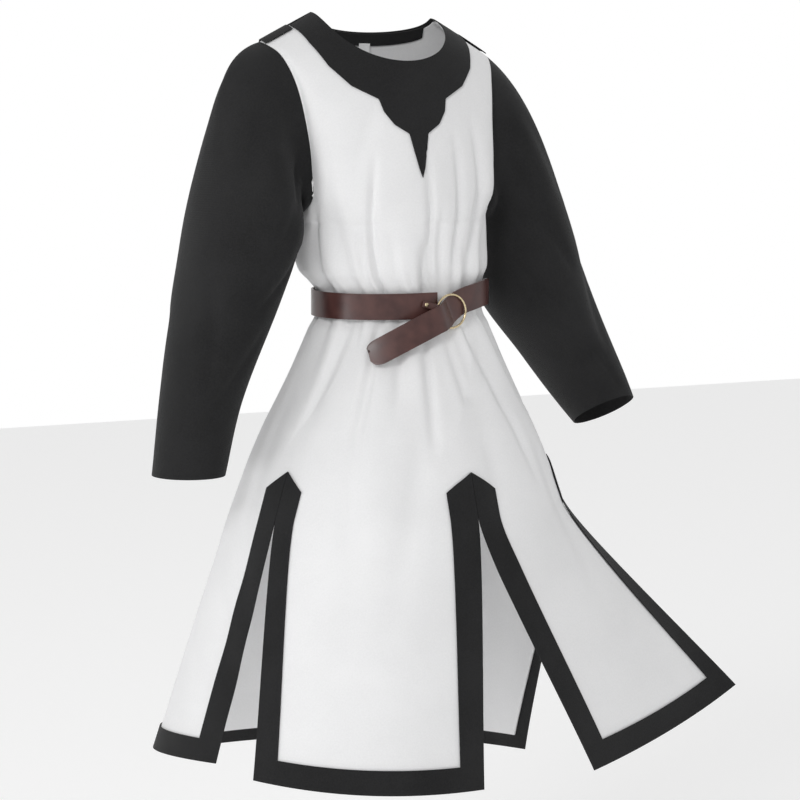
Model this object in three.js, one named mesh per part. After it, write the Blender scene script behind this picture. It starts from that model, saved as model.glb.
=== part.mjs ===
// A belted tunic with black sleeves, a scalloped black collar and a skirt slit into four bordered panels.
// Millimetres, +Z up. The front faces -Y and the wearer's right is at -X.
// The origin is between the two neck points, where the shoulders carry the tunic.
import * as THREE from "three";

// Cloth and seams
const CLOTH = 2;
const TRIM_CLOTH = 1.4;
const SEAM_GAP = 0.4;
const APPLIED_GAP = 1.3;
const BAND_GAP = 0.68;
const INSIDE_GAP = 1;
const LABEL_CLOTH = 0.8;
const LABEL_GAP = 3.2;
const NECK_ALLOWANCE = 5;

// Neck, shoulders and armholes
const NECK_HALF = 98;
const NECK_FRONT_DROP = 62;
const NECK_BACK_DROP = 24;
const SHOULDER_HALF = 182;
const SHOULDER_DROP = 45;
const SHOULDER_BEND = 60;
const SHOULDER_TILT = 0.06;
const UNDERARM_Z = -290;
const BACK_SCOOP = 0.5;
const ARMHOLE_FULLNESS = 0.5;
const CHEST_ROUNDNESS = 1.8;
const RING_ROUNDNESS = 2.15;

// Waist, slits and hem
const BELT_Z = -415;
const TWIST_TOP_Z = -400;
const SPREAD_Z = -600;
const SLIT_TOP_Z = -650;
const SLIT_OPEN_Z = -712;
const SKIRT_TWIST = THREE.MathUtils.degToRad(-33);
const FRONT_SLIT_ANGLE = THREE.MathUtils.degToRad(37);
const BACK_SLIT_ANGLE = THREE.MathUtils.degToRad(102);
const PANEL_LENGTH = 410;
const STRAIGHTNESS = 0.6;
const BORDER_WIDTH = 36;
const BORDER_POINT_RISE = 26;
const WHITE_SHORT = 21;

// The pose of the skirt is laid out across and towards the side that the tunic is shown from.
const POSE_TURN = THREE.MathUtils.degToRad(27);

// Belt
const BELT_WIDTH = 38;
const BELT_THICK = 3;
const BELT_GAP = 2.2;
const RING_ANGLE = THREE.MathUtils.degToRad(12);
const RING_SWING = THREE.MathUtils.degToRad(5);
const RING_RADIUS = 24.4;
const RING_WIRE = 1.6;
const RING_LIFT = 8.5;
const RING_LOW = 9;
const STRAP_START = 4;
const STRAP_THROUGH = 340;
const STRAP_END = 402;
const LOOSE_FROM = 356;
const LOOSE_OVER = 30;
const LOOSE_LEAN = 0.42;
const TIP_TURNS = 7;
const TIP_NARROW = 0.1;
const TIP_ROUNDNESS = 2.4;
const TIP_CROWDING = 1.6;
const KEEPER = { from: 24, wide: 9, low: -3.5, leaf: 3.05, hole: 2.6, wall: 1.5, turn: 0.33, rise: Math.PI / 12 };
const RIVET = { out: 18, radius: 3, tall: 1.8, gap: 0.3 };

// How steeply a sleeve's head leaves the armhole at the underarm
const HEAD_DROP = 0.8;

// Columns and rows of the walls
const SHOULDER_COLUMNS = 8;
const NECK_COLUMNS = 10;
const SIDE_COLUMNS = { front: 6, back: 3 };
const MIDDLE_COLUMNS = { front: 12, back: 18 };
const YOKE_ROWS = 10;
const STRIP_ROWS = 11;
const HEAD_STEPS = 5;
const ARM_STEPS = 8;
const BORDER_ROWS = 12;
const HEM_COLUMNS = 12;
const LEVELS = [-310, -335, -362, -388, -402, -428, -445, -475, -515, -565, -620, -665, -712];

// Rings of the body from the underarm to where the slits open: half width, depth to the front and to the back,
// and the middle of the ring.
const BODY_RINGS = [
  { z: -290, half: 150, front: 118, back: 102, x: -2, y: -56 },
  { z: -330, half: 150, front: 114, back: 100, x: 0, y: -58 },
  { z: -366, half: 146, front: 108, back: 98, x: 5, y: -60 },
  { z: -384, half: 134, front: 101, back: 94, x: 10, y: -61 },
  { z: -397, half: 128, front: 97, back: 91, x: 14, y: -62 },
  { z: -415, half: 127, front: 96, back: 90, x: 15, y: -62 },
  { z: -434, half: 129, front: 98, back: 92, x: 15, y: -62 },
  { z: -452, half: 139, front: 107, back: 100, x: 15, y: -62 },
  { z: -520, half: 168, front: 140, back: 132, x: 15, y: -61 },
  { z: -600, half: 205, front: 178, back: 168, x: 14, y: -60 },
  { z: -650, half: 226, front: 198, back: 186, x: 13, y: -59 },
  { z: -712, half: 248, front: 218, back: 206, x: 12, y: -59 },
];

// Half width of the front and back at the armhole edge, from the shoulder (0) to the underarm (1), and how far the
// front's edge is scooped forwards.
const ARMHOLE_EDGE = [
  { t: 0, half: 182, scoop: 0 },
  { t: 0.06, half: 172, scoop: 12 },
  { t: 0.22, half: 160, scoop: 18 },
  { t: 0.46, half: 150, scoop: 23 },
  { t: 0.7, half: 145, scoop: 33 },
  { t: 0.88, half: 145, scoop: 35 },
  { t: 1, half: 150, scoop: 0 },
];

// Folds that the belt draws in: how far each lies round the body, how wide and deep it is, and how it leans.
const FOLDS = [
  { turn: -78, wide: 7, deep: 9, lean: 6 },
  { turn: -52, wide: 9, deep: 7, lean: 4 },
  { turn: -24, wide: 7, deep: 8, lean: -3 },
  { turn: 2, wide: 6, deep: 6, lean: 2 },
  { turn: 16, wide: 5, deep: 8, lean: -2 },
  { turn: 34, wide: 6, deep: 9, lean: -5 },
  { turn: 58, wide: 8, deep: 7, lean: -6 },
  { turn: 92, wide: 8, deep: 8, lean: 0 },
  { turn: 124, wide: 9, deep: 7, lean: 5 },
  { turn: 153, wide: 7, deep: 9, lean: -4 },
  { turn: 178, wide: 8, deep: 7, lean: 3 },
  { turn: 206, wide: 7, deep: 9, lean: -3 },
  { turn: 236, wide: 9, deep: 7, lean: 4 },
];
const FOLD_ABOVE = 120;
const FOLD_BELOW = 190;
const FOLD_LEAST = 0.22;

// The four skirt panels: the angles of their two edges about the twisted front, and where the two lower corners
// and the middle of the hem hang, across and towards the side that the tunic is shown from.
const QUARTER = Math.PI / 2;
const HALF_TURN = Math.PI;
const PANELS = [
  {
    name: "front",
    from: -FRONT_SLIT_ANGLE,
    to: FRONT_SLIT_ANGLE,
    start: { across: -205, near: 240, z: -1087 },
    middle: { across: -40, near: 292, z: -1098 },
    end: { across: 126, near: 223, z: -1104 },
  },
  {
    name: "left",
    from: FRONT_SLIT_ANGLE,
    to: BACK_SLIT_ANGLE,
    start: { across: 290, near: 108, z: -1101 },
    middle: { across: 410, near: -4, z: -1063 },
    end: { across: 515, near: -104, z: -1014 },
  },
  {
    name: "back",
    from: BACK_SLIT_ANGLE,
    to: 2 * HALF_TURN - BACK_SLIT_ANGLE,
    start: { across: 197, near: -178, z: -1130 },
    middle: { across: -60, near: -345, z: -1143 },
    end: { across: -330, near: -235, z: -1140 },
  },
  {
    name: "right",
    from: 2 * HALF_TURN - BACK_SLIT_ANGLE,
    to: 2 * HALF_TURN - FRONT_SLIT_ANGLE,
    start: { across: -338, near: -205, z: -1120 },
    middle: { across: -364, near: -75, z: -1109 },
    end: { across: -267, near: 48, z: -1103 },
  },
];

// Sleeves: the middle of each section, its half sizes across and from front to back, how far its front swings in
// (degrees), and how it rises outwards and to the front. The head drop is how steeply it leaves the shoulder.
const SLEEVES = [
  {
    name: "right",
    side: -1,
    headDrop: 0.25,
    sections: [
      { x: -237, y: -48, z: -325, across: 68, deep: 112, swing: 14, riseOut: 0, riseFront: 0 },
      { x: -262, y: -45, z: -415, across: 67, deep: 98, swing: 10, riseOut: 0, riseFront: 0 },
      { x: -302, y: -50, z: -550, across: 57, deep: 70, swing: 5, riseOut: 0, riseFront: 0 },
      { x: -326, y: -60, z: -655, across: 53, deep: 56, swing: 0, riseOut: 0, riseFront: 0 },
    ],
  },
  {
    name: "left",
    side: 1,
    headDrop: 0.7,
    sections: [
      { x: 243, y: -14, z: -325, across: 70, deep: 112, swing: 0, riseOut: 0, riseFront: 0 },
      { x: 271, y: -10, z: -420, across: 81, deep: 110, swing: 0, riseOut: 0, riseFront: 0 },
      { x: 331, y: -11, z: -515, across: 64, deep: 86, swing: 0, riseOut: 0.04, riseFront: 0.13 },
      { x: 391, y: -15, z: -605, across: 43, deep: 54, swing: 0, riseOut: 0.17, riseFront: 0.47 },
    ],
  },
];

// Collar outline on one side of the front, from the shoulder to the point: distance from the middle, and height.
const COLLAR_EDGE = [
  { x: 136, z: -20.4 },
  { x: 130, z: -42 },
  { x: 115, z: -72 },
  { x: 90, z: -98 },
  { x: 54, z: -116 },
  { x: 49, z: -134 },
  { x: 36, z: -152 },
  { x: 15, z: -165 },
  { x: 10, z: -190 },
  { x: 4.5, z: -214 },
  { x: 0, z: -228 },
];
const NECK_CROWDING = 1.5;
const COLLAR_BACK_WIDTH = 44;
const SHOULDER_BAND_WIDTH = 30;
const SHOULDER_BAND_FRONT = 4;
const INNER_BAND_DEPTH = 18;
const LABEL = { wide: 18, tall: 26 };

// The strap's course: from the ring round the right side and back, through the ring and down as the loose end.
const STRAP_COURSE = [
  { turn: 0, z: -415, lift: 6.2 },
  { turn: 30, z: -415, lift: 6.4 },
  { turn: 60, z: -415, lift: 7.4 },
  { turn: 120, z: -415, lift: 7.8 },
  { turn: 250, z: -413, lift: 7.8 },
  { turn: 308, z: -403, lift: 10 },
  { turn: 334, z: -409, lift: 6.2 },
  { turn: 343, z: -414, lift: 5.6 },
  { turn: 348, z: -419, lift: 6.6 },
  { turn: 352, z: -423.6, lift: 9.4 },
  { turn: 356, z: -428, lift: 16.8 },
  { turn: 360, z: -432, lift: 22.8 },
  { turn: 364, z: -436, lift: 24 },
  { turn: 380, z: -455, lift: 18 },
  { turn: 402, z: -484, lift: 11 },
];

const mix = THREE.MathUtils.lerp;
const clamp = THREE.MathUtils.clamp;

// A smooth value of one column of a table, at a place along its key column.
function along(table, key, at, column) {
  const rising = table[table.length - 1][key] > table[0][key];
  let i = table.findIndex((row) => (rising ? row[key] >= at : row[key] <= at));
  i = clamp(i < 0 ? table.length - 1 : i, 1, table.length - 1);
  const slope = (k) => {
    const a = table[Math.max(k - 1, 0)];
    const b = table[Math.min(k + 1, table.length - 1)];
    return (b[column] - a[column]) / (b[key] - a[key]);
  };
  const [a, b] = [table[i - 1], table[i]];
  const span = b[key] - a[key];
  const s = clamp((at - a[key]) / span, 0, 1);
  const rest = 1 - s;
  return (
    a[column] * (1 + 2 * s) * rest * rest +
    b[column] * (3 - 2 * s) * s * s +
    slope(i - 1) * span * s * rest * rest -
    slope(i) * span * s * s * rest
  );
}

const smooth = (s) => {
  const c = clamp(s, 0, 1);
  return c * c * (3 - 2 * c);
};

// How far the cloth has turned about the body at a height.
const twistAt = (z) => SKIRT_TWIST * smooth((TWIST_TOP_Z - z) / (TWIST_TOP_Z - SLIT_TOP_Z));

// Depth of the belt's folds at an angle and height: nothing at the belt, most just above and below it.
function foldDepth(angle, z) {
  const away = z > BELT_Z ? (z - BELT_Z) / FOLD_ABOVE : (BELT_Z - z) / FOLD_BELOW;
  const swell = FOLD_LEAST + (1 - FOLD_LEAST) * Math.sin(Math.PI * Math.min(away + 0.08, 1));
  const strength = away < 1 ? swell : FOLD_LEAST * Math.max(0, 2 - away);
  let depth = 0;
  for (const fold of FOLDS) {
    const centre = fold.turn + fold.lean * away * (z > BELT_Z ? 1 : -1);
    let off = THREE.MathUtils.radToDeg(angle) - centre;
    off -= 360 * Math.round(off / 360);
    const wide = fold.wide * (1 + 0.5 * away);
    depth += fold.deep * Math.exp(-((off / wide) ** 2));
  }
  return depth * strength;
}

// A point of the body below the underarm. The angle is 0 at the front and grows to the wearer's left.
function ringPoint(angle, z, folded = true) {
  const row = (column) => along(BODY_RINGS, "z", z, column);
  const power = 2 / RING_ROUNDNESS;
  const s = Math.sin(angle);
  const c = Math.cos(angle);
  const depth = c > 0 ? row("front") : row("back");
  const x = row("half") * Math.sign(s) * Math.abs(s) ** power;
  const y = -depth * Math.sign(c) * Math.abs(c) ** power;
  const long = Math.hypot(x, y);
  const shrink = folded ? 1 - foldDepth(angle, z) / long : 1;
  return new THREE.Vector3(row("x") + x * shrink, row("y") + y * shrink, z);
}

// The same point, named by the cloth's own angle, which turns with the twist of the skirt.
const bodyPoint = (angle, z) => ringPoint(angle + twistAt(z), z);

// Height of the shoulder line at a distance from the middle.
function shoulderLine(x) {
  const reach = (at) => Math.hypot(at, SHOULDER_BEND);
  return (-SHOULDER_DROP * (reach(x) - reach(NECK_HALF))) / (reach(SHOULDER_HALF) - reach(NECK_HALF));
}

// A point of the upper front (facing 1) or back (facing -1), from its place across and its height.
function yokePoint(x, z, facing) {
  const top = shoulderLine(x);
  const t = clamp((top - z) / (top - UNDERARM_Z), 0, 1);
  const edge = along(ARMHOLE_EDGE, "t", t, "half");
  const share = clamp(Math.abs(x) / edge, 0, 1);
  const cosine = Math.sqrt(Math.max(0, 1 - share ** RING_ROUNDNESS));
  const chest = BODY_RINGS[0];
  const full = ARMHOLE_FULLNESS * (1 - t);
  const depth = (facing > 0 ? chest.front : chest.back) * mix(cosine ** (2 / RING_ROUNDNESS), 1, full);
  const arch = (1 - (1 - t) ** CHEST_ROUNDNESS) ** (1 / CHEST_ROUNDNESS);
  const scoop = along(ARMHOLE_EDGE, "t", t, "scoop") * share ** 4 * (facing > 0 ? 1 : BACK_SCOOP);
  const y = chest.y * arch - facing * (depth * arch + scoop);
  return new THREE.Vector3(x + chest.x * t, y, z - SHOULDER_TILT * x * (1 - t) ** 2);
}

// Height of the neckline at a distance from the middle, in front or at the back.
function neckline(x, facing) {
  const drop = facing > 0 ? NECK_FRONT_DROP : NECK_BACK_DROP;
  return -drop * Math.sqrt(Math.max(0, 1 - (x / NECK_HALF) ** 2));
}

// A sheet is a list of points and of four-cornered faces.
function sheetOf(rows) {
  const points = rows.flat();
  const wide = rows[0].length;
  const faces = [];
  for (let r = 0; r + 1 < rows.length; r++) {
    for (let c = 0; c + 1 < wide; c++) {
      const i = r * wide + c;
      faces.push([i, i + wide, i + wide + 1, i + 1]);
    }
  }
  return { points, faces };
}

// Merges corners of a sheet that lie at the same place, and drops faces that collapse.
function joined({ points, faces }) {
  const kept = [];
  const index = points.map((p) => {
    const at = kept.findIndex((q) => q.distanceToSquared(p) < 1e-4);
    return at < 0 ? kept.push(p) - 1 : at;
  });
  const whole = faces.map((f) => f.map((i) => index[i]).filter((i, k, all) => i !== all[(k + 1) % all.length]));
  return { points: kept, faces: whole.filter((f) => f.length > 2) };
}

function normalsOf({ points, faces }) {
  const normals = points.map(() => new THREE.Vector3());
  for (const face of faces) {
    for (let k = 1; k + 1 < face.length; k++) {
      const [a, b, c] = [face[0], face[k], face[k + 1]];
      const ab = points[b].clone().sub(points[a]);
      const ac = points[c].clone().sub(points[a]);
      const n = ab.cross(ac);
      for (const i of [a, b, c]) normals[i].add(n);
    }
  }
  return normals.map((n) => n.normalize());
}

// A closed wall from a sheet whose faces look outwards: its outer skin is moved out by lift.
function wallGeometry(sheet, thick, lift = 0) {
  const normals = sheet.normals ?? normalsOf(sheet);
  const count = sheet.points.length;
  const place = (i, out) => sheet.points[i].clone().addScaledVector(normals[i], out);
  const positions = [];
  for (let i = 0; i < count; i++) positions.push(...place(i, lift));
  for (let i = 0; i < count; i++) positions.push(...place(i, lift - thick));
  const triangles = [];
  const edges = new Map();
  for (const face of sheet.faces) {
    for (let k = 1; k + 1 < face.length; k++) {
      triangles.push(face[0], face[k], face[k + 1]);
      triangles.push(face[0] + count, face[k + 1] + count, face[k] + count);
    }
    face.forEach((a, k) => {
      const b = face[(k + 1) % face.length];
      if (edges.has(`${b},${a}`)) edges.delete(`${b},${a}`);
      else edges.set(`${a},${b}`, [a, b]);
    });
  }
  for (const [a, b] of edges.values()) triangles.push(a, a + count, b, b, a + count, b + count);
  const geometry = new THREE.BufferGeometry();
  geometry.setAttribute("position", new THREE.Float32BufferAttribute(positions, 3));
  geometry.setIndex(triangles);
  geometry.computeVertexNormals();
  return geometry;
}

const steps = (count) => Array.from({ length: count + 1 }, (_, i) => i / count);

const WHITE = new THREE.MeshStandardMaterial({ color: 0xececec, roughness: 0.85, metalness: 0 });
const BLACK = new THREE.MeshStandardMaterial({ color: 0x1c1c1d, roughness: 0.8, metalness: 0 });
const LEATHER = new THREE.MeshStandardMaterial({ color: 0x3a211f, roughness: 0.45, metalness: 0 });
const BRASS = new THREE.MeshStandardMaterial({ color: 0xb9a67a, roughness: 0.3, metalness: 1 });

function piece(name, geometry, material) {
  const mesh = new THREE.Mesh(geometry, material.clone());
  mesh.name = name;
  return mesh;
}

// Across and near distances of the skirt's pose, as a place in the tunic's own frame.
function posed({ across, near, z }) {
  const middle = BODY_RINGS[BODY_RINGS.length - 1];
  const x = across * Math.cos(POSE_TURN) - near * Math.sin(POSE_TURN);
  const y = -across * Math.sin(POSE_TURN) - near * Math.cos(POSE_TURN);
  return new THREE.Vector3(middle.x + x, middle.y + y, z);
}

// A point of a skirt panel: share runs from one edge to the other and fall from the slit's opening (0) to the
// hem (1). Above the opening fall is negative.
function panelPoint(panel, share, fall) {
  const angle = mix(panel.from, panel.to, share);
  if (fall < 0) return bodyPoint(angle, SLIT_OPEN_Z - fall * PANEL_LENGTH);
  const top = bodyPoint(angle, SLIT_OPEN_Z);
  const slope = bodyPoint(angle, SLIT_OPEN_Z + 20).sub(top).multiplyScalar(-1 / 20);
  const [start, middle, end] = [panel.start, panel.middle, panel.end].map(posed);
  const hem = start
    .multiplyScalar((1 - share) * (1 - 2 * share))
    .addScaledVector(middle, 4 * share * (1 - share))
    .addScaledVector(end, share * (2 * share - 1));
  const length = SLIT_OPEN_Z - hem.z;
  const chord = hem.clone().sub(top);
  const f = fall;
  return top
    .clone()
    .multiplyScalar((1 + 2 * f) * (1 - f) * (1 - f))
    .addScaledVector(hem, (3 - 2 * f) * f * f)
    .addScaledVector(slope, length * (1 - STRAIGHTNESS) * f * (1 - f) * (1 - f))
    .addScaledVector(chord, -f * f * (1 - f));
}

// Length across a panel at a height, along the cloth.
function panelWidth(panel, fall) {
  const spots = steps(12).map((share) => panelPoint(panel, share, fall));
  return spots.slice(1).reduce((sum, spot, i) => sum + spot.distanceTo(spots[i]), 0);
}

// Strips of the front or back between two slits, or between a slit and a side seam. The white cloth stops short of
// the slits, under the borders.
const panelNamed = (name) => PANELS.find((panel) => panel.name === name);

function stripsOf(names, kind, slitAngle) {
  const sidePart = (QUARTER - slitAngle) / (BACK_SLIT_ANGLE - FRONT_SLIT_ANGLE);
  return names.map((name, i) => ({
    panel: panelNamed(name),
    columns: i === 1 ? MIDDLE_COLUMNS[kind] : SIDE_COLUMNS[kind],
    share: (s, fall) => {
      const short = WHITE_SHORT / panelWidth(panelNamed(name), fall);
      return mix(i === 0 ? 1 - sidePart : short, i === 2 ? sidePart : 1 - short, s);
    },
  }));
}

const STRIPS = {
  1: stripsOf(["right", "front", "left"], "front", FRONT_SLIT_ANGLE),
  [-1]: stripsOf(["left", "back", "right"], "back", HALF_TURN - BACK_SLIT_ANGLE),
};

// Places across the top edge of the front, from the right shoulder tip to the left one.
function topPlaces() {
  const shoulder = steps(SHOULDER_COLUMNS).map((s) => mix(SHOULDER_HALF, NECK_HALF + NECK_ALLOWANCE, s));
  const neck = steps(NECK_COLUMNS).map((s) => (NECK_HALF + NECK_ALLOWANCE) * Math.cos(HALF_TURN * s));
  return [...shoulder.map((x) => -x), ...neck.slice(1, -1).map((x) => -x), ...shoulder.reverse()];
}

// Height of the white cloth's top edge, a little outside the collar's neckline.
function topEdge(x, facing) {
  const wide = NECK_HALF + NECK_ALLOWANCE;
  if (Math.abs(x) >= wide - 0.01) return shoulderLine(x);
  return shoulderLine(wide) + neckline((x * NECK_HALF) / wide, facing) - NECK_ALLOWANCE * (1 - (x / wide) ** 2);
}

// How far across a column lies at a share of the armhole's depth. The armhole's curve draws in only what is near it.
const columnPlace = (share, t) =>
  share * mix(SHOULDER_HALF, along(ARMHOLE_EDGE, "t", t, "half"), Math.abs(share) ** 4);

// The column that passes through a place.
function columnAt(x, t) {
  let share = x / SHOULDER_HALF;
  for (let i = 0; i < 12; i++) share *= x / (columnPlace(share, t) || 1);
  return share;
}

// All points of the front (facing 1) or back (facing -1), as one sheet, and the length of its armhole columns.
function bodySheet(facing) {
  const strips = STRIPS[facing];
  const openAngles = strips.flatMap(({ panel, columns, share }) =>
    steps(columns).map((s) => mix(panel.from, panel.to, share(s, 0))),
  );
  if (facing > 0) for (let i = 0; i <= SIDE_COLUMNS.front; i++) openAngles[i] -= 2 * HALF_TURN;
  const rows = Array.from({ length: YOKE_ROWS + 1 + LEVELS.length }, () => []);
  topPlaces().forEach((place, c) => {
    const x = place * facing;
    const top = topEdge(x, facing);
    const line = shoulderLine(x);
    const share = columnAt(x, (line - top) / (line - UNDERARM_Z));
    const under = Math.abs(columnPlace(share, 1)) / BODY_RINGS[0].half;
    const lean = Math.asin(Math.min(1, under) ** (RING_ROUNDNESS / 2)) * Math.sign(x);
    const topAngle = facing > 0 ? lean : HALF_TURN - lean;
    for (let k = 0; k <= YOKE_ROWS; k++) {
      const z = mix(top, UNDERARM_Z, (k / YOKE_ROWS) ** 1.7);
      const t = (line - z) / (line - UNDERARM_Z);
      rows[k].push(yokePoint(columnPlace(share, t), z, facing));
    }
    LEVELS.forEach((z, k) => {
      const angle = mix(topAngle, openAngles[c], smooth((UNDERARM_Z - z) / (UNDERARM_Z - SPREAD_Z)));
      rows[YOKE_ROWS + 1 + k].push(bodyPoint(angle, z));
    });
  });
  const upper = sheetOf(rows);
  const parts = [upper];
  const falls = steps(STRIP_ROWS).map((s) => s * (1 - WHITE_SHORT / PANEL_LENGTH));
  for (const { panel, columns, share } of strips) {
    parts.push(
      sheetOf(falls.map((fall) => steps(columns).map((s) => panelPoint(panel, share(s, fall), fall)))),
    );
  }
  return { sheet: joined(merged(parts)), rows };
}

function merged(parts) {
  const points = [];
  const faces = [];
  for (const part of parts) {
    faces.push(...part.faces.map((face) => face.map((i) => i + points.length)));
    points.push(...part.points);
  }
  return { points, faces };
}

// Parts two sheets that share seams: both take the joined cloth's normals, and each seam point moves into its own
// sheet by half the gap.
function parted(sheets) {
  const whole = joined(merged(sheets));
  const wholeNormals = normalsOf(whole);
  const at = (p) => whole.points.findIndex((q) => q.distanceToSquared(p) < 1e-4);
  const owners = whole.points.map(() => 0);
  for (const sheet of sheets) for (const p of sheet.points) owners[at(p)]++;
  return sheets.map((sheet) => {
    const spots = sheet.points.map(at);
    const normals = spots.map((i) => wholeNormals[i].clone());
    const pulls = sheet.points.map(() => new THREE.Vector3());
    for (const face of sheet.faces) {
      for (const i of face) {
        for (const j of face) {
          if (owners[spots[i]] > 1 && owners[spots[j]] === 1) {
            pulls[i].add(sheet.points[j].clone().sub(sheet.points[i]).normalize());
          }
        }
      }
    }
    const points = sheet.points.map((p, i) =>
      pulls[i].lengthSq() > 0 ? p.clone().addScaledVector(pulls[i].normalize(), SEAM_GAP) : p,
    );
    return { points, faces: sheet.faces, normals };
  });
}

// A sleeve from the armhole's edge, round the shoulder and down to the open cuff.
function sleeveSheet(sleeve, front, back) {
  const column = (rows, side) => rows.slice(0, YOKE_ROWS + 1).map((row) => row[side > 0 ? row.length - 1 : 0]);
  const frontEdge = column(front, sleeve.side);
  const backEdge = column(back, -sleeve.side);
  const loop = [...frontEdge, ...backEdge.slice(1, -1).reverse()];
  const count = loop.length;
  const first = sleeve.sections[0];
  const last = sleeve.sections[sleeve.sections.length - 1];
  const section = (turn, z) => {
    const row = (key) => along(sleeve.sections, "z", z, key);
    const out = Math.cos(turn) * row("across");
    const front = Math.sin(turn) * row("deep");
    const swing = THREE.MathUtils.degToRad(row("swing"));
    const beside = sleeve.side * (out * Math.cos(swing) - front * Math.sin(swing));
    const ahead = front * Math.cos(swing) + out * Math.sin(swing);
    const rise = beside * row("riseOut") + ahead * row("riseFront");
    return new THREE.Vector3(row("x") + beside, row("y") - ahead, z + rise);
  };
  const rings = [];
  for (let k = 0; k <= HEAD_STEPS; k++) {
    const s = k / HEAD_STEPS;
    rings.push(
      loop.map((edge, i) => {
        const turn = (2 * HALF_TURN * i) / count;
        const goal = section(turn, first.z);
        const down = section(turn, first.z - 20).sub(goal).normalize();
        const long = goal.distanceTo(edge);
        const drop = mix(HEAD_DROP, sleeve.headDrop, 0.5 + 0.5 * Math.cos(turn));
        const out = new THREE.Vector3(sleeve.side, 0, -drop).normalize();
        const from = edge.clone().addScaledVector(out, SEAM_GAP * 1.5);
        return from
          .multiplyScalar((1 + 2 * s) * (1 - s) ** 2)
          .addScaledVector(goal, (3 - 2 * s) * s * s)
          .addScaledVector(out, long * s * (1 - s) ** 2)
          .addScaledVector(down, -long * s * s * (1 - s));
      }),
    );
  }
  for (let k = 1; k <= ARM_STEPS; k++) {
    const z = mix(first.z, last.z, k / ARM_STEPS);
    rings.push(loop.map((_, i) => section((2 * HALF_TURN * i) / count, z)));
  }
  const closed = rings.map((ring) => [...ring, ring[0]]);
  const rows = sleeve.side > 0 ? closed.map((ring) => ring.reverse()) : closed;
  return joined(sheetOf(rows));
}

// The upper front or back, as a sheet from places in its own flat view.
const appliedSheet = (rows, facing) => {
  const placed = rows.map((row) => row.map(({ x, z }) => yokePoint(x, Math.min(z, shoulderLine(x)), facing)));
  return sheetOf(placed);
};

// A point at a share of the length of an outline.
function atShare(outline, share) {
  const lengths = outline.slice(1).map((p, i) => Math.hypot(p.x - outline[i].x, p.z - outline[i].z));
  let left = share * lengths.reduce((a, b) => a + b, 0);
  for (let i = 0; i < lengths.length; i++) {
    if (left <= lengths[i] || i === lengths.length - 1) {
      const s = Math.min(1, left / lengths[i]);
      return { x: mix(outline[i].x, outline[i + 1].x, s), z: mix(outline[i].z, outline[i + 1].z, s) };
    }
    left -= lengths[i];
  }
  return outline[0];
}

// The collar's rows run round the neck and its columns from the neckline out to its edge.
function collarSheet(facing, outline, alongSteps, acrossSteps) {
  const half = steps(alongSteps).map((s) => {
    const share = s ** NECK_CROWDING;
    const turn = QUARTER * share;
    const x = NECK_HALF * Math.cos(turn);
    return { inner: { x, z: neckline(x, facing) }, outer: atShare(outline, share) };
  });
  const row = ({ inner, outer }, side) =>
    steps(acrossSteps).map((s) => ({ x: side * mix(inner.x, outer.x, s), z: mix(inner.z, outer.z, s) }));
  const right = half.map((spot) => row(spot, -1));
  const left = half.slice(0, -1).map((spot) => row(spot, 1));
  const rows = [...right, ...left.reverse()];
  return appliedSheet(facing > 0 ? rows.map((r) => r.reverse()) : rows, facing);
}

const backOutline = steps(16).map((s) => {
  const turn = QUARTER * s;
  const side = COLLAR_EDGE[0];
  const low = NECK_BACK_DROP + COLLAR_BACK_WIDTH;
  return { x: side.x * Math.cos(turn), z: side.z - (low + side.z) * Math.sin(turn) };
});

// The black band over the shoulder seam, from the collar to the armhole, most of it behind.
function shoulderBandSheet(side) {
  const places = steps(4).map((s) => mix(COLLAR_EDGE[0].x + 2, SHOULDER_HALF - 1.5, s));
  const ahead = steps(3).slice(1).map((s) => SHOULDER_BAND_FRONT * s ** 1.7);
  const behind = steps(4).map((s) => -SHOULDER_BAND_WIDTH * s ** 1.7);
  const rows = [...ahead.reverse(), ...behind].map((drop) => {
    const spots = places.map((x) => yokePoint(side * x, shoulderLine(x) - Math.abs(drop), drop > 0 ? 1 : -1));
    return side > 0 ? spots.reverse() : spots;
  });
  return sheetOf(rows);
}

// The strip of the collar that is turned to the inside of the back neck, and the small label under it.
function innerBandSheet() {
  const rows = steps(2).map((d) =>
    steps(12).map((s) => {
      const x = (NECK_HALF - 6) * Math.cos(HALF_TURN * s);
      return { x, z: neckline(x, -1) - 1 - INNER_BAND_DEPTH * d };
    }),
  );
  return appliedSheet(rows, -1);
}

function labelSheet() {
  const top = -NECK_BACK_DROP - INNER_BAND_DEPTH + 3;
  const rows = steps(2).map((d) =>
    steps(2).map((s) => ({ x: LABEL.wide * (0.5 - s), z: top - LABEL.tall * d })),
  );
  return appliedSheet(rows, -1);
}

// A panel's border: strips down both edges, pointed where they meet above the slit, and one along the hem.
const POINT_FALL = (SLIT_OPEN_Z - SLIT_TOP_Z) / PANEL_LENGTH;
const RISE_FALL = BORDER_POINT_RISE / PANEL_LENGTH;
const BORDER_FALL = BORDER_WIDTH / PANEL_LENGTH;

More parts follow.
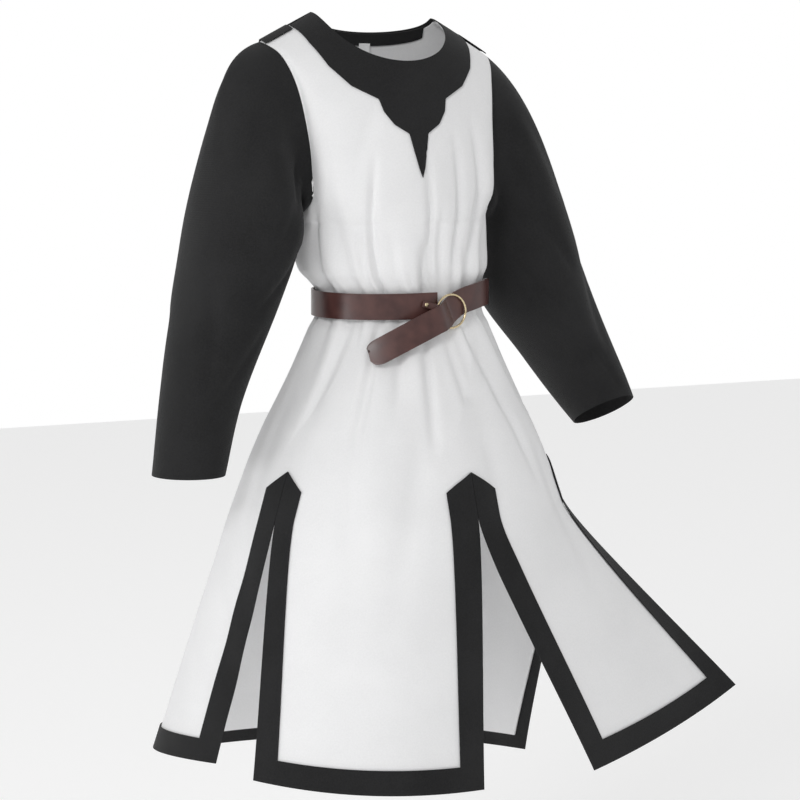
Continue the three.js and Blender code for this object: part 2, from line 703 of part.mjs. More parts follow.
function borderSheet(panel) {
  const inset = (fall) => SEAM_GAP / panelWidth(panel, fall);
  const band = (fall) => BORDER_WIDTH / panelWidth(panel, fall);
  const strip = (side) =>
    sheetOf(
      steps(BORDER_ROWS).map((down) =>
        steps(2).map((s) => {
          const inward = side < 0 ? s : 1 - s;
          const fall = mix(POINT_FALL + RISE_FALL * inward, 1 - BORDER_FALL, down);
          const share = mix(inset(fall), band(fall), inward);
          return panelPoint(panel, side < 0 ? share : 1 - share, fall);
        }),
      ),
    );
  const hem = sheetOf(
    steps(2).map((down) => {
      const fall = mix(1 - BORDER_FALL, 1, down);
      const corner = steps(2).map((s) => mix(inset(fall), band(fall), s));
      const middle = steps(HEM_COLUMNS).slice(1, -1).map((s) => mix(band(fall), 1 - band(fall), s));
      const shares = [...corner, ...middle, ...corner.map((share) => 1 - share).reverse()];
      return shares.map((share) => panelPoint(panel, share, fall));
    }),
  );
  return joined(merged([strip(-1), strip(1), hem]));
}

const outward = (angle, z) => {
  const step = 0.01;
  const a = ringPoint(angle + step, z, false).sub(ringPoint(angle - step, z, false));
  return a.cross(new THREE.Vector3(0, 0, 1)).normalize();
};

function strapPoint(turn) {
  const angle = THREE.MathUtils.degToRad(STRAP_START - turn);
  const row = (key) => along(STRAP_COURSE, "turn", turn, key);
  return ringPoint(angle, row("z"), false).addScaledVector(outward(angle, row("z")), row("lift"));
}

function strapSheet() {
  const held = steps(44).map((s) => s * STRAP_THROUGH);
  const loosely = steps(14).slice(1).map((s) => mix(STRAP_THROUGH, STRAP_END, 1 - (1 - s) ** TIP_CROWDING));
  const turns = [...held, ...loosely];
  const rows = turns.map((turn) => {
    const middle = strapPoint(turn);
    const course = strapPoint(turn + 0.5).sub(strapPoint(turn - 0.5)).normalize();
    const angle = THREE.MathUtils.degToRad(STRAP_START - turn);
    const loose = smooth((turn - LOOSE_FROM) / LOOSE_OVER);
    const normal = outward(angle, middle.z);
    normal.z += LOOSE_LEAN * loose;
    const wide = normal.clone().cross(course).normalize();
    const tip = clamp((STRAP_END - turn) / TIP_TURNS, 0, 1);
    const round = (1 - (1 - tip) ** TIP_ROUNDNESS) ** (1 / TIP_ROUNDNESS);
    const half = (BELT_WIDTH / 2) * mix(TIP_NARROW, 1, round);
    return steps(2).map((s) => middle.clone().addScaledVector(wide, half * (2 * s - 1)));
  });
  return sheetOf(rows);
}

const UP = new THREE.Vector3(0, 0, 1);
const RING_OUT = outward(RING_ANGLE, BELT_Z);
const RING_NORMAL = RING_OUT.clone().applyAxisAngle(UP, RING_SWING);
const RING_CENTRE = ringPoint(RING_ANGLE, BELT_Z - RING_LOW, false).addScaledVector(RING_OUT, RING_LIFT);

function beltRing() {
  const ring = new THREE.TorusGeometry(RING_RADIUS, RING_WIRE, 8, 32);
  const turn = new THREE.Quaternion().setFromUnitVectors(UP, RING_NORMAL);
  return ring.applyQuaternion(turn).translate(...RING_CENTRE);
}

// The frame of the keeper: x runs up along the strap from the ring's wire, y crosses it, z outwards.
function keeperFrame() {
  const leaning = (level) =>
    level.normalize().multiplyScalar(Math.cos(KEEPER.rise)).addScaledVector(UP, Math.sin(KEEPER.rise));
  const outwards = outward(RING_ANGLE - KEEPER.turn, BELT_Z);
  const wire = RING_CENTRE.clone().addScaledVector(leaning(RING_NORMAL.clone().cross(UP)), RING_RADIUS);
  const strapward = leaning(outwards.clone().cross(UP));
  return new THREE.Matrix4().makeBasis(strapward, outwards.clone().cross(strapward), outwards).setPosition(wire);
}

// The leather loop that holds the ring's wire to the strap, cut through for the wire.
function beltKeeper() {
  const round = KEEPER.hole + KEEPER.wall;
  const shape = new THREE.Shape();
  shape.moveTo(KEEPER.from, KEEPER.low);
  shape.lineTo(KEEPER.from, KEEPER.low + KEEPER.leaf);
  shape.lineTo(KEEPER.from / 2, KEEPER.low + KEEPER.leaf);
  shape.absarc(0, 0, round, Math.PI / 4, (3 * Math.PI) / 2, false);
  shape.closePath();
  shape.holes.push(new THREE.Path().absarc(0, 0, KEEPER.hole, 0, 2 * Math.PI, true));
  const geometry = new THREE.ExtrudeGeometry(shape, { depth: KEEPER.wide, bevelEnabled: false, curveSegments: 10 });
  return geometry
    .translate(0, 0, -KEEPER.wide / 2)
    .rotateX(Math.PI / 2)
    .applyMatrix4(keeperFrame());
}

function beltRivet() {
  const outline = [
    [0, 0],
    [RIVET.radius, 0],
    [RIVET.radius, 0.5 * RIVET.tall],
    [0.6 * RIVET.radius, 0.9 * RIVET.tall],
    [0, RIVET.tall],
  ];
  const head = new THREE.LatheGeometry(outline.map(([x, y]) => new THREE.Vector2(x, y)), 16);
  return head
    .rotateX(Math.PI / 2)
    .translate(RIVET.out, 0, KEEPER.low + KEEPER.leaf + RIVET.gap)
    .applyMatrix4(keeperFrame());
}

const front = bodySheet(1);
const back = bodySheet(-1);
const [frontSheet, backSheet] = parted([front.sheet, back.sheet]);
const APPLIED_LIFT = APPLIED_GAP + TRIM_CLOTH;
const BAND_LIFT = APPLIED_LIFT + BAND_GAP;

const tunic = new THREE.Group();
tunic.add(piece("front", wallGeometry(frontSheet, CLOTH), WHITE));
tunic.add(piece("back", wallGeometry(backSheet, CLOTH), WHITE));
for (const sleeve of SLEEVES) {
  const sheet = sleeveSheet(sleeve, front.rows, back.rows);
  tunic.add(piece(`sleeve_${sleeve.name}`, wallGeometry(sheet, CLOTH), BLACK));
}
tunic.add(piece("collar_front", wallGeometry(collarSheet(1, COLLAR_EDGE, 13, 4), TRIM_CLOTH, APPLIED_LIFT), BLACK));
tunic.add(piece("collar_back", wallGeometry(collarSheet(-1, backOutline, 13, 4), TRIM_CLOTH, APPLIED_LIFT), BLACK));
tunic.add(piece("shoulder_band_right", wallGeometry(shoulderBandSheet(-1), TRIM_CLOTH, BAND_LIFT), BLACK));
tunic.add(piece("shoulder_band_left", wallGeometry(shoulderBandSheet(1), TRIM_CLOTH, BAND_LIFT), BLACK));
tunic.add(piece("neck_band_inside", wallGeometry(innerBandSheet(), TRIM_CLOTH, -CLOTH - INSIDE_GAP), BLACK));
tunic.add(piece("neck_label", wallGeometry(labelSheet(), LABEL_CLOTH, -CLOTH - LABEL_GAP), WHITE));
for (const panel of PANELS) {
  tunic.add(piece(`border_${panel.name}`, wallGeometry(borderSheet(panel), TRIM_CLOTH, APPLIED_LIFT), BLACK));
}
tunic.add(piece("belt_strap", wallGeometry(strapSheet(), BELT_THICK), LEATHER));
tunic.add(piece("belt_ring", beltRing(), BRASS));
tunic.add(piece("belt_keeper", beltKeeper(), LEATHER));
tunic.add(piece("belt_rivet", beltRivet(), BRASS));

export default tunic;
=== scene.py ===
"""A belted tunic: white front and back, black sleeves, a scalloped black collar, a skirt slit into four
bordered panels, and a brown leather belt with a brass ring. It dresses the solids with cloth and leather."""

import logging
import math
from dataclasses import dataclass, field
from enum import Enum
from typing import Sequence

import bmesh
import bpy
import numpy as np
from mathutils import Matrix, Vector


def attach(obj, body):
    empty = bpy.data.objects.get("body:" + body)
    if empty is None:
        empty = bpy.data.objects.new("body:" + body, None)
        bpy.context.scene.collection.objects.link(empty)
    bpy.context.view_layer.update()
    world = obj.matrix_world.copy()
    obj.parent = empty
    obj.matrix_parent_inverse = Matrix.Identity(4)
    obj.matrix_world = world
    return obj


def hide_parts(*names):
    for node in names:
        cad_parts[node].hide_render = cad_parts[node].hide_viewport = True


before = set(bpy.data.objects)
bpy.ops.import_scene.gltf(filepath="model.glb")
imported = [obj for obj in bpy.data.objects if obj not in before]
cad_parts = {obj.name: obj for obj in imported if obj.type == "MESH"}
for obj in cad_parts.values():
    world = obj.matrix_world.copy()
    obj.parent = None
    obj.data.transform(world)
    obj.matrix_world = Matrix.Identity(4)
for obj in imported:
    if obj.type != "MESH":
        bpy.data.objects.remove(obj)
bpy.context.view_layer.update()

log = logging.getLogger("tunic")
logging.basicConfig(level=logging.INFO, format="%(message)s")

Array = np.ndarray

# Cloth and leather, in metres
CLOTH = 0.002
TRIM_CLOTH = 0.0014
SEAM_GAP = 0.0002
SLEEVE_GAP = SEAM_GAP * 1.5
APPLIED_LIFT = 0.0027
BAND_LIFT = 0.0034
STRAP_THICK = 0.003

# Neck, shoulders and armholes
NECK_HALF = 0.098
NECK_FRONT_DROP = 0.062
NECK_BACK_DROP = 0.024
NECK_ALLOWANCE = 0.005
SHOULDER_HALF = 0.182
SHOULDER_DROP = 0.045
SHOULDER_BEND = 0.060
UNDERARM_Z = -0.290
BACK_SCOOP = 0.5
ARMHOLE_FULLNESS = 0.5
CHEST_ROUNDNESS = 1.8
SHOULDER_TILT = 0.06
RING_ROUNDNESS = 2.15

# Waist, slits and hem
BELT_Z = -0.415
TWIST_TOP_Z = -0.400
SPREAD_Z = -0.600
SLIT_TOP_Z = -0.650
SLIT_OPEN_Z = -0.712
SKIRT_TWIST = math.radians(-33)
FRONT_SLIT_ANGLE = math.radians(37)
BACK_SLIT_ANGLE = math.radians(102)
PANEL_LENGTH = 0.410
STRAIGHTNESS = 0.6
BORDER_WIDTH = 0.036
BORDER_POINT_RISE = 0.026
WHITE_SHORT = 0.021
POSE_TURN = math.radians(27)

# How steeply a sleeve's head leaves the armhole at the underarm
HEAD_DROP = 0.8

# The viewpoint
VIEW_AZIMUTH = math.radians(-27)
VIEW_ELEVATION = math.radians(7)
VIEW_DISTANCE = 6.0
VIEW_TARGET = Vector((0.018, -0.059, -0.565))
VIEW_LENS = 182.0


def mix(a: Array | float, b: Array | float, s: Array | float) -> Array | float:
    """The value at a share s of the way from a to b."""
    return a + (b - a) * s


def smooth(s: Array | float) -> Array:
    """A soft step from 0 to 1."""
    c = np.clip(s, 0, 1)
    return c * c * (3 - 2 * c)


def stack(x: Array, y: Array, z: Array) -> Array:
    """Points from their three coordinates, which may be of different shapes."""
    return np.stack(np.broadcast_arrays(x, y, z), axis=-1).astype(float)


def unit(v: Array) -> Array:
    """Vectors brought to length one."""
    return v / np.maximum(np.linalg.norm(v, axis=-1, keepdims=True), 1e-12)


def column_along(rows: Sequence[object], key: str, column: str, at: Array | float) -> Array:
    """A smooth value of one column of a table.

    Args:
        rows: the table's rows, in order of the key column.
        key: the name of the column that the places are measured along.
        column: the name of the column that is wanted.
        at: the places.

    Returns:
        The column's value at each place.
    """
    keys = np.array([getattr(row, key) for row in rows], float)
    values = np.array([getattr(row, column) for row in rows], float)
    if keys[0] > keys[-1]:
        keys, values = keys[::-1], values[::-1]
    last = len(keys) - 1
    low = np.maximum(np.arange(last + 1) - 1, 0)
    high = np.minimum(np.arange(last + 1) + 1, last)
    slopes = (values[high] - values[low]) / (keys[high] - keys[low])
    i = np.clip(np.searchsorted(keys, at), 1, last)
    span = keys[i] - keys[i - 1]
    s = np.clip((at - keys[i - 1]) / span, 0, 1)
    rest = 1 - s
    return (
        values[i - 1] * (1 + 2 * s) * rest * rest
        + values[i] * (3 - 2 * s) * s * s
        + slopes[i - 1] * span * s * rest * rest
        - slopes[i] * span * s * s * rest
    )


@dataclass(frozen=True)
class BodyRing:
    """A ring of the body: height, half width, depth to the front and back, and its middle."""

    z: float
    half: float
    front: float
    back: float
    x: float
    y: float


@dataclass(frozen=True)
class ArmholeSpot:
    """Half width of the front at the armhole, from the shoulder (0) to the underarm (1), and how far it is
    scooped to the front."""

    t: float
    half: float
    scoop: float


@dataclass(frozen=True)
class BeltFold:
    """A fold that the belt draws in, in degrees round the body and metres deep."""

    turn: float
    wide: float
    deep: float
    lean: float = 0.0
    above: float = 0.120
    below: float = 0.190


@dataclass(frozen=True)
class Crease:
    """A soft trough in the cloth between two places, each a turn in degrees and a height."""

    turn: float
    z: float
    end_turn: float
    end_z: float
    wide: float
    deep: float


BODY_RINGS = (
    BodyRing(-0.290, 0.150, 0.118, 0.102, -0.002, -0.056),
    BodyRing(-0.330, 0.150, 0.114, 0.100, 0.000, -0.058),
    BodyRing(-0.366, 0.146, 0.108, 0.098, 0.005, -0.060),
    BodyRing(-0.384, 0.134, 0.101, 0.094, 0.010, -0.061),
    BodyRing(-0.397, 0.128, 0.097, 0.091, 0.014, -0.062),
    BodyRing(-0.415, 0.127, 0.096, 0.090, 0.015, -0.062),
    BodyRing(-0.434, 0.129, 0.098, 0.092, 0.015, -0.062),
    BodyRing(-0.452, 0.139, 0.107, 0.100, 0.015, -0.062),
    BodyRing(-0.520, 0.168, 0.140, 0.132, 0.015, -0.061),
    BodyRing(-0.600, 0.205, 0.178, 0.168, 0.014, -0.060),
    BodyRing(-0.650, 0.226, 0.198, 0.186, 0.013, -0.059),
    BodyRing(-0.712, 0.248, 0.218, 0.206, 0.012, -0.059),
)
ARMHOLE_EDGE = (
    ArmholeSpot(0.00, 0.182, 0.000),
    ArmholeSpot(0.06, 0.172, 0.012),
    ArmholeSpot(0.22, 0.160, 0.018),
    ArmholeSpot(0.46, 0.150, 0.023),
    ArmholeSpot(0.70, 0.145, 0.033),
    ArmholeSpot(0.88, 0.145, 0.035),
    ArmholeSpot(1.00, 0.150, 0.000),
)

# The folds of the solid, then finer ones between them
BELT_FOLDS = (
    BeltFold(-78, 7, 0.009, 6),
    BeltFold(-52, 9, 0.007, 4),
    BeltFold(-24, 7, 0.008, -3),
    BeltFold(2, 6, 0.006, 2),
    BeltFold(16, 5, 0.008, -2),
    BeltFold(34, 6, 0.009, -5),
    BeltFold(58, 8, 0.007, -6),
    BeltFold(92, 8, 0.008, 0),
    BeltFold(124, 9, 0.007, 5),
    BeltFold(153, 7, 0.009, -4),
    BeltFold(178, 8, 0.007, 3),
    BeltFold(206, 7, 0.009, -3),
    BeltFold(236, 9, 0.007, 4),
)
FINE_FOLDS = (
    BeltFold(-81, 2.1, 0.0054, -3.5, 0.035, 0.060),
    BeltFold(-63, 2.1, 0.0044, -2.6, 0.045, 0.040),
    BeltFold(-49, 2.3, 0.0039, 0.1, 0.045, 0.080),
    BeltFold(-30, 2.0, 0.0048, -0.0, 0.085, 0.040),
    BeltFold(-9, 2.4, 0.0046, 0.6, 0.085, 0.080),
    BeltFold(10, 1.9, 0.0041, -3.5, 0.060, 0.060),
    BeltFold(25, 1.9, 0.0050, -1.8, 0.045, 0.120),
    BeltFold(42, 2.7, 0.0042, -2.6, 0.045, 0.060),
    BeltFold(59, 1.8, 0.0054, 0.9, 0.060, 0.060),
    BeltFold(74, 2.6, 0.0061, 3.0, 0.085, 0.120),
    BeltFold(96, 1.8, 0.0043, -2.7, 0.060, 0.040),
    BeltFold(115, 1.8, 0.0043, -1.0, 0.060, 0.080),
    BeltFold(130, 2.2, 0.0046, -2.8, 0.060, 0.080),
    BeltFold(149, 1.8, 0.0054, -3.8, 0.060, 0.040),
    BeltFold(173, 2.5, 0.0054, 2.2, 0.060, 0.060),
    BeltFold(190, 2.5, 0.0060, -2.2, 0.085, 0.080),
    BeltFold(205, 1.9, 0.0056, -1.2, 0.060, 0.080),
    BeltFold(225, 2.2, 0.0068, 0.9, 0.035, 0.120),
    BeltFold(244, 2.5, 0.0061, -0.2, 0.045, 0.120),
    BeltFold(264, 2.1, 0.0066, 1.8, 0.045, 0.060),
)
CREASES = (
    Crease(-35, -0.195, -40, -0.440, 0.0055, 0.0080),
    Crease(-45, -0.300, -48, -0.440, 0.0060, 0.0050),
    Crease(-60, -0.200, -56, -0.430, 0.0110, 0.0035),
    Crease(-70, -0.265, -86, -0.440, 0.0070, 0.0090),
    Crease(-24, -0.310, -22, -0.440, 0.0070, 0.0045),
    Crease(3, -0.320, -5, -0.440, 0.0080, 0.0100),
    Crease(6, -0.190, 8, -0.440, 0.0060, 0.0070),
    Crease(15, -0.270, 16, -0.440, 0.0070, 0.0055),
    Crease(34, -0.170, 28, -0.440, 0.0070, 0.0080),
    Crease(52, -0.150, 44, -0.440, 0.0085, 0.0090),
    Crease(68, -0.220, 60, -0.440, 0.0085, 0.0085),
    Crease(-35, -0.105, -48, -0.215, 0.0140, 0.0030),
    Crease(118, -0.190, 128, -0.440, 0.0080, 0.0080),
    Crease(140, -0.260, 142, -0.440, 0.0060, 0.0060),
    Crease(153, -0.120, 149, -0.440, 0.0070, 0.0070),
    Crease(172, -0.170, 176, -0.440, 0.0065, 0.0075),
    Crease(187, -0.270, 186, -0.440, 0.0060, 0.0055),
    Crease(196, -0.140, 201, -0.440, 0.0080, 0.0080),
    Crease(222, -0.200, 214, -0.440, 0.0070, 0.0080),
    Crease(244, -0.245, 231, -0.440, 0.0075, 0.0080),
    Crease(-62, -0.395, -74, -0.640, 0.0100, 0.0080),
    Crease(-42, -0.395, -46, -0.620, 0.0080, 0.0085),
    Crease(-25, -0.395, -28, -0.560, 0.0080, 0.0060),
    Crease(-6, -0.395, -10, -0.620, 0.0085, 0.0095),
    Crease(12, -0.395, 15, -0.620, 0.0090, 0.0070),
    Crease(33, -0.395, 43, -0.680, 0.0110, 0.0085),
    Crease(60, -0.395, 72, -0.660, 0.0110, 0.0085),
    Crease(-47, -0.560, -40, -0.880, 0.022, 0.0065),
    Crease(-14, -0.560, -30, -0.880, 0.022, 0.0070),
    Crease(20, -0.560, 14, -0.820, 0.018, 0.0060),
    Crease(52, -0.600, 56, -0.900, 0.020, 0.0070),
    Crease(66, -0.700, 76, -1.020, 0.022, 0.0050),
    Crease(-92, -0.520, -84, -0.900, 0.020, 0.0060),
    Crease(-98, -0.760, -94, -1.080, 0.022, 0.0050),
    Crease(100, -0.395, 92, -0.700, 0.0120, 0.0080),
    Crease(128, -0.395, 132, -0.700, 0.0110, 0.0085),
    Crease(130, -0.620, 130, -0.940, 0.022, 0.0060),
    Crease(150, -0.620, 152, -1.060, 0.024, 0.0060),
    Crease(168, -0.395, 172, -0.760, 0.0110, 0.0085),
    Crease(196, -0.395, 186, -0.700, 0.0110, 0.0080),
    Crease(196, -0.640, 190, -0.980, 0.022, 0.0060),
    Crease(222, -0.395, 228, -0.720, 0.0120, 0.0085),
    Crease(246, -0.395, 236, -0.700, 0.0110, 0.0080),
    Crease(246, -0.640, 240, -1.000, 0.022, 0.0060),
)
CREASE_SCALE = 0.13
HEM_CALM = 0.35


def crease_depth(creases: Sequence[Crease], turn: Array, z: Array, radius: Array | float) -> Array:
    """How deep the creases are at each place.

    Args:
        creases: the creases, each between two places.
        turn: the places' turns, in degrees.
        z: the places' heights.
        radius: distance from the axis, which turns degrees into metres.

    Returns:
        The depth in metres at each place.
    """
    depth = np.zeros(np.broadcast(turn, z).shape)
    for crease in creases:
        along_u = math.radians(crease.end_turn - crease.turn) * CREASE_SCALE
        along_z = crease.end_z - crease.z
        off = turn - crease.turn
        off = off - 360 * np.round(off / 360)
        u = np.radians(off) * CREASE_SCALE
        w = z - crease.z
        long = along_u * along_u + along_z * along_z
        s = np.clip((u * along_u + w * along_z) / long, 0, 1)
        aside = np.hypot((u - s * along_u) * radius / CREASE_SCALE, w - s * along_z)
        fade = np.sin(np.pi * np.clip(s, 0.02, 0.98)) ** 0.6 * mix(1, HEM_CALM, smooth((-0.62 - z) / 0.2))
        depth = depth + crease.deep * fade * np.exp(-((aside / crease.wide) ** 2))
    return depth


def fold_depth(folds: Sequence[BeltFold], angle: Array, z: Array, crisp: bool = False) -> Array:
    """Depth of the belt's folds.

    Args:
        folds: the folds.
        angle: the places' angles round the body, in radians.
        z: the places' heights.
        crisp: whether the folds are deepest at the belt, instead of just above and below it.

    Returns:
        The depth in metres at each place.
    """
    depth = np.zeros(np.broadcast(angle, z).shape)
    over = z > BELT_Z
    for fold in folds:
        away = np.where(over, (z - BELT_Z) / fold.above, (BELT_Z - z) / fold.below)
        near = 0.22 + 0.78 * np.sin(np.pi * np.minimum(away + 0.08, 1))
        strength = np.where(away < 1, near, 0.22 * np.maximum(0, 2 - away))
        if crisp:
            strength = (1 - smooth(away)) ** 0.8
        centre = fold.turn + fold.lean * away * np.where(over, 1, -1)
        off = np.degrees(angle) - centre
        off = off - 360 * np.round(off / 360)
        depth = depth + strength * fold.deep * np.exp(-((off / (fold.wide * (1 + 0.5 * away))) ** 2))
    return depth


def twist_at(z: Array) -> Array:
    """How far the cloth has turned about the body at each height, in radians."""
    return SKIRT_TWIST * smooth((TWIST_TOP_Z - z) / (TWIST_TOP_Z - SLIT_TOP_Z))


def ring_point(angle: Array, z: Array, folded: bool = True) -> Array:
    """Points of the body below the underarm.

    Args:
        angle: radians round the body, 0 at the front and growing to the wearer's left.
        z: heights.
        folded: whether the belt's folds are drawn in.

    Returns:
        The points.
    """
    s = np.sin(angle)
    c = np.cos(angle)
    power = 2 / RING_ROUNDNESS
    front = column_along(BODY_RINGS, "z", "front", z)
    back = column_along(BODY_RINGS, "z", "back", z)
    x = column_along(BODY_RINGS, "z", "half", z) * np.sign(s) * np.abs(s) ** power
    y = -np.where(c > 0, front, back) * np.sign(c) * np.abs(c) ** power
    shrink = 1.0
    if folded:
        depth = fold_depth(BELT_FOLDS, angle, z) + fold_depth(FINE_FOLDS, angle, z, True)
        shrink = 1 - depth / np.hypot(x, y)
    middle_x = column_along(BODY_RINGS, "z", "x", z)
    middle_y = column_along(BODY_RINGS, "z", "y", z)
    return stack(middle_x + x * shrink, middle_y + y * shrink, z)


def body_point(angle: Array, z: Array) -> Array:
    """The same points, named by the cloth's own angle, which turns with the twist of the skirt."""
    return ring_point(angle + twist_at(z), z)


def shoulder_line(x: Array) -> Array:
    """Height of the shoulder line at each distance from the middle."""
    at_neck = math.hypot(NECK_HALF, SHOULDER_BEND)
    at_tip = math.hypot(SHOULDER_HALF, SHOULDER_BEND)
    return -SHOULDER_DROP * (np.hypot(x, SHOULDER_BEND) - at_neck) / (at_tip - at_neck)


def yoke_point(x: Array, z: Array, facing: int) -> Array:
    """Points of the upper front or back.

    Args:
        x: distances across.
        z: heights.
        facing: 1 for the front, -1 for the back.

    Returns:
        The points.
    """
    top = shoulder_line(x)
    t = np.clip((top - z) / (top - UNDERARM_Z), 0, 1)
    edge = column_along(ARMHOLE_EDGE, "t", "half", t)
    share = np.clip(np.abs(x) / edge, 0, 1)
    cosine = np.sqrt(np.maximum(0, 1 - share**RING_ROUNDNESS))
    chest = BODY_RINGS[0]
    reach = chest.front if facing > 0 else chest.back
    depth = reach * mix(cosine ** (2 / RING_ROUNDNESS), 1, ARMHOLE_FULLNESS * (1 - t))
    arch = (1 - (1 - t) ** CHEST_ROUNDNESS) ** (1 / CHEST_ROUNDNESS)
    scoop = column_along(ARMHOLE_EDGE, "t", "scoop", t) * share**4 * (1 if facing > 0 else BACK_SCOOP)
    y = chest.y * arch - facing * (depth * arch + scoop)
    return stack(x + chest.x * t, y, z - SHOULDER_TILT * x * (1 - t) ** 2)


def neckline(x: Array, facing: int) -> Array:
    """Height of the neckline at each distance from the middle, in front or at the back."""
    drop = NECK_FRONT_DROP if facing > 0 else NECK_BACK_DROP
    return -drop * np.sqrt(np.maximum(0, 1 - (x / NECK_HALF) ** 2))


def creased(points: Array) -> Array:
    """Draws the body's creases into points of the front, back, collar or borders.

    Args:
        points: places on the smooth body.

    Returns:
        The same places, moved in towards the middle by the creases' depth.
    """
    z = points[..., 2]
    middle_x = column_along(BODY_RINGS, "z", "x", z)
    middle_y = column_along(BODY_RINGS, "z", "y", z)
    x = points[..., 0] - middle_x
    y = points[..., 1] - middle_y
    radius = np.hypot(x, y)
    turn = np.degrees(np.arctan2(x, -y))
    depth = crease_depth(CREASES, turn, z, radius)
    moved = points.copy()
    moved[..., 0] -= x / radius * depth
    moved[..., 1] -= y / radius * depth
    return moved


@dataclass(frozen=True)
class Hanging:
    """Where a spot of the hem hangs: across and towards the viewpoint, and its height."""

    across: float
    near: float
    z: float

    def place(self) -> Array:
        """The spot in the tunic's own frame."""
        middle = BODY_RINGS[-1]
        x = self.across * math.cos(POSE_TURN) - self.near * math.sin(POSE_TURN)
        y = -self.across * math.sin(POSE_TURN) - self.near * math.cos(POSE_TURN)
        return np.array([middle.x + x, middle.y + y, self.z])


@dataclass(frozen=True)
class Panel:
    """A panel of the skirt between two slits."""

    name: str
    first: float
    last: float
    start: Hanging
    middle: Hanging
    end: Hanging

    def point(self, share: Array | float, fall: Array | float) -> Array:
        """Points of the panel.

        Args:
            share: places from one edge (0) to the other (1).
            fall: places from the slits' opening (0) to the hem (1), less than 0 above it.

        Returns:
            The points, with their creases.
        """
        share, fall = np.broadcast_arrays(np.asarray(share, float), np.asarray(fall, float))
        angle = mix(self.first, self.last, share)
        above = body_point(angle, SLIT_OPEN_Z - np.minimum(fall, 0) * PANEL_LENGTH)
        step = 0.020
        top = body_point(angle, np.full_like(angle, SLIT_OPEN_Z))
        slope = (top - body_point(angle, np.full_like(angle, SLIT_OPEN_Z + step))) / step
        s = share[..., None]
        hem = (
            self.start.place() * (1 - s) * (1 - 2 * s)
            + self.middle.place() * 4 * s * (1 - s)
            + self.end.place() * s * (2 * s - 1)
        )
        f = np.maximum(fall, 0)[..., None]
        length = SLIT_OPEN_Z - hem[..., 2:]
        below = (
            top * (1 + 2 * f) * (1 - f) ** 2
            + hem * (3 - 2 * f) * f**2
            + slope * length * (1 - STRAIGHTNESS) * f * (1 - f) ** 2
            - (hem - top) * f**2 * (1 - f)
        )
        return creased(np.where(fall[..., None] < 0, above, below))

    def width(self, fall: Array) -> Array:
        """Length across the panel at each fall, along the cloth."""
        shares = np.linspace(0, 1, 13)
        spots = self.point(shares[:, None], np.asarray(fall, float)[None, :])
        return np.linalg.norm(np.diff(spots, axis=0), axis=-1).sum(axis=0)


RIGHT_PANEL = Panel(
    "right",
    2 * math.pi - BACK_SLIT_ANGLE,
    2 * math.pi - FRONT_SLIT_ANGLE,
    Hanging(-0.338, -0.205, -1.120),
    Hanging(-0.364, -0.075, -1.109),
    Hanging(-0.267, 0.048, -1.103),
)
FRONT_PANEL = Panel(
    "front",
    -FRONT_SLIT_ANGLE,
    FRONT_SLIT_ANGLE,
    Hanging(-0.205, 0.240, -1.087),
    Hanging(-0.040, 0.292, -1.098),
    Hanging(0.126, 0.223, -1.104),
)
LEFT_PANEL = Panel(
    "left",
    FRONT_SLIT_ANGLE,
    BACK_SLIT_ANGLE,
    Hanging(0.290, 0.108, -1.101),
    Hanging(0.410, -0.004, -1.063),
    Hanging(0.515, -0.104, -1.014),
)
BACK_PANEL = Panel(
    "back",
    BACK_SLIT_ANGLE,
    2 * math.pi - BACK_SLIT_ANGLE,
    Hanging(0.197, -0.178, -1.130),
    Hanging(-0.060, -0.345, -1.143),
    Hanging(-0.330, -0.235, -1.140),
)
PANELS = (FRONT_PANEL, LEFT_PANEL, BACK_PANEL, RIGHT_PANEL)
BORDER_LENGTHS = {"front": 1.28, "left": 1.21, "back": 1.69, "right": 1.25}


@dataclass
class Patch:
    """A four-sided grid of cloth: its points, and the place of each on the flat cloth in metres."""

    points: Array
    flat: Array

    @classmethod
    def of(cls, points: Array) -> "Patch":
        """A patch whose flat places are measured along its middle row and column."""
        rows, columns = points.shape[:2]
        across = np.linalg.norm(np.diff(points[rows // 2], axis=0), axis=-1)
        down = np.linalg.norm(np.diff(points[:, columns // 2], axis=0), axis=-1)
        u = np.concatenate([[0], np.cumsum(across)])
        v = np.concatenate([[0], np.cumsum(down)])
        return cls(points, np.stack(np.meshgrid(u, v), axis=-1))


class Slot(Enum):
    """Names of the material slots."""

    WHITE = "white_cloth"
    BLACK = "black_cloth"
    LEATHER = "brown_leather"
    BRASS = "pale_brass"


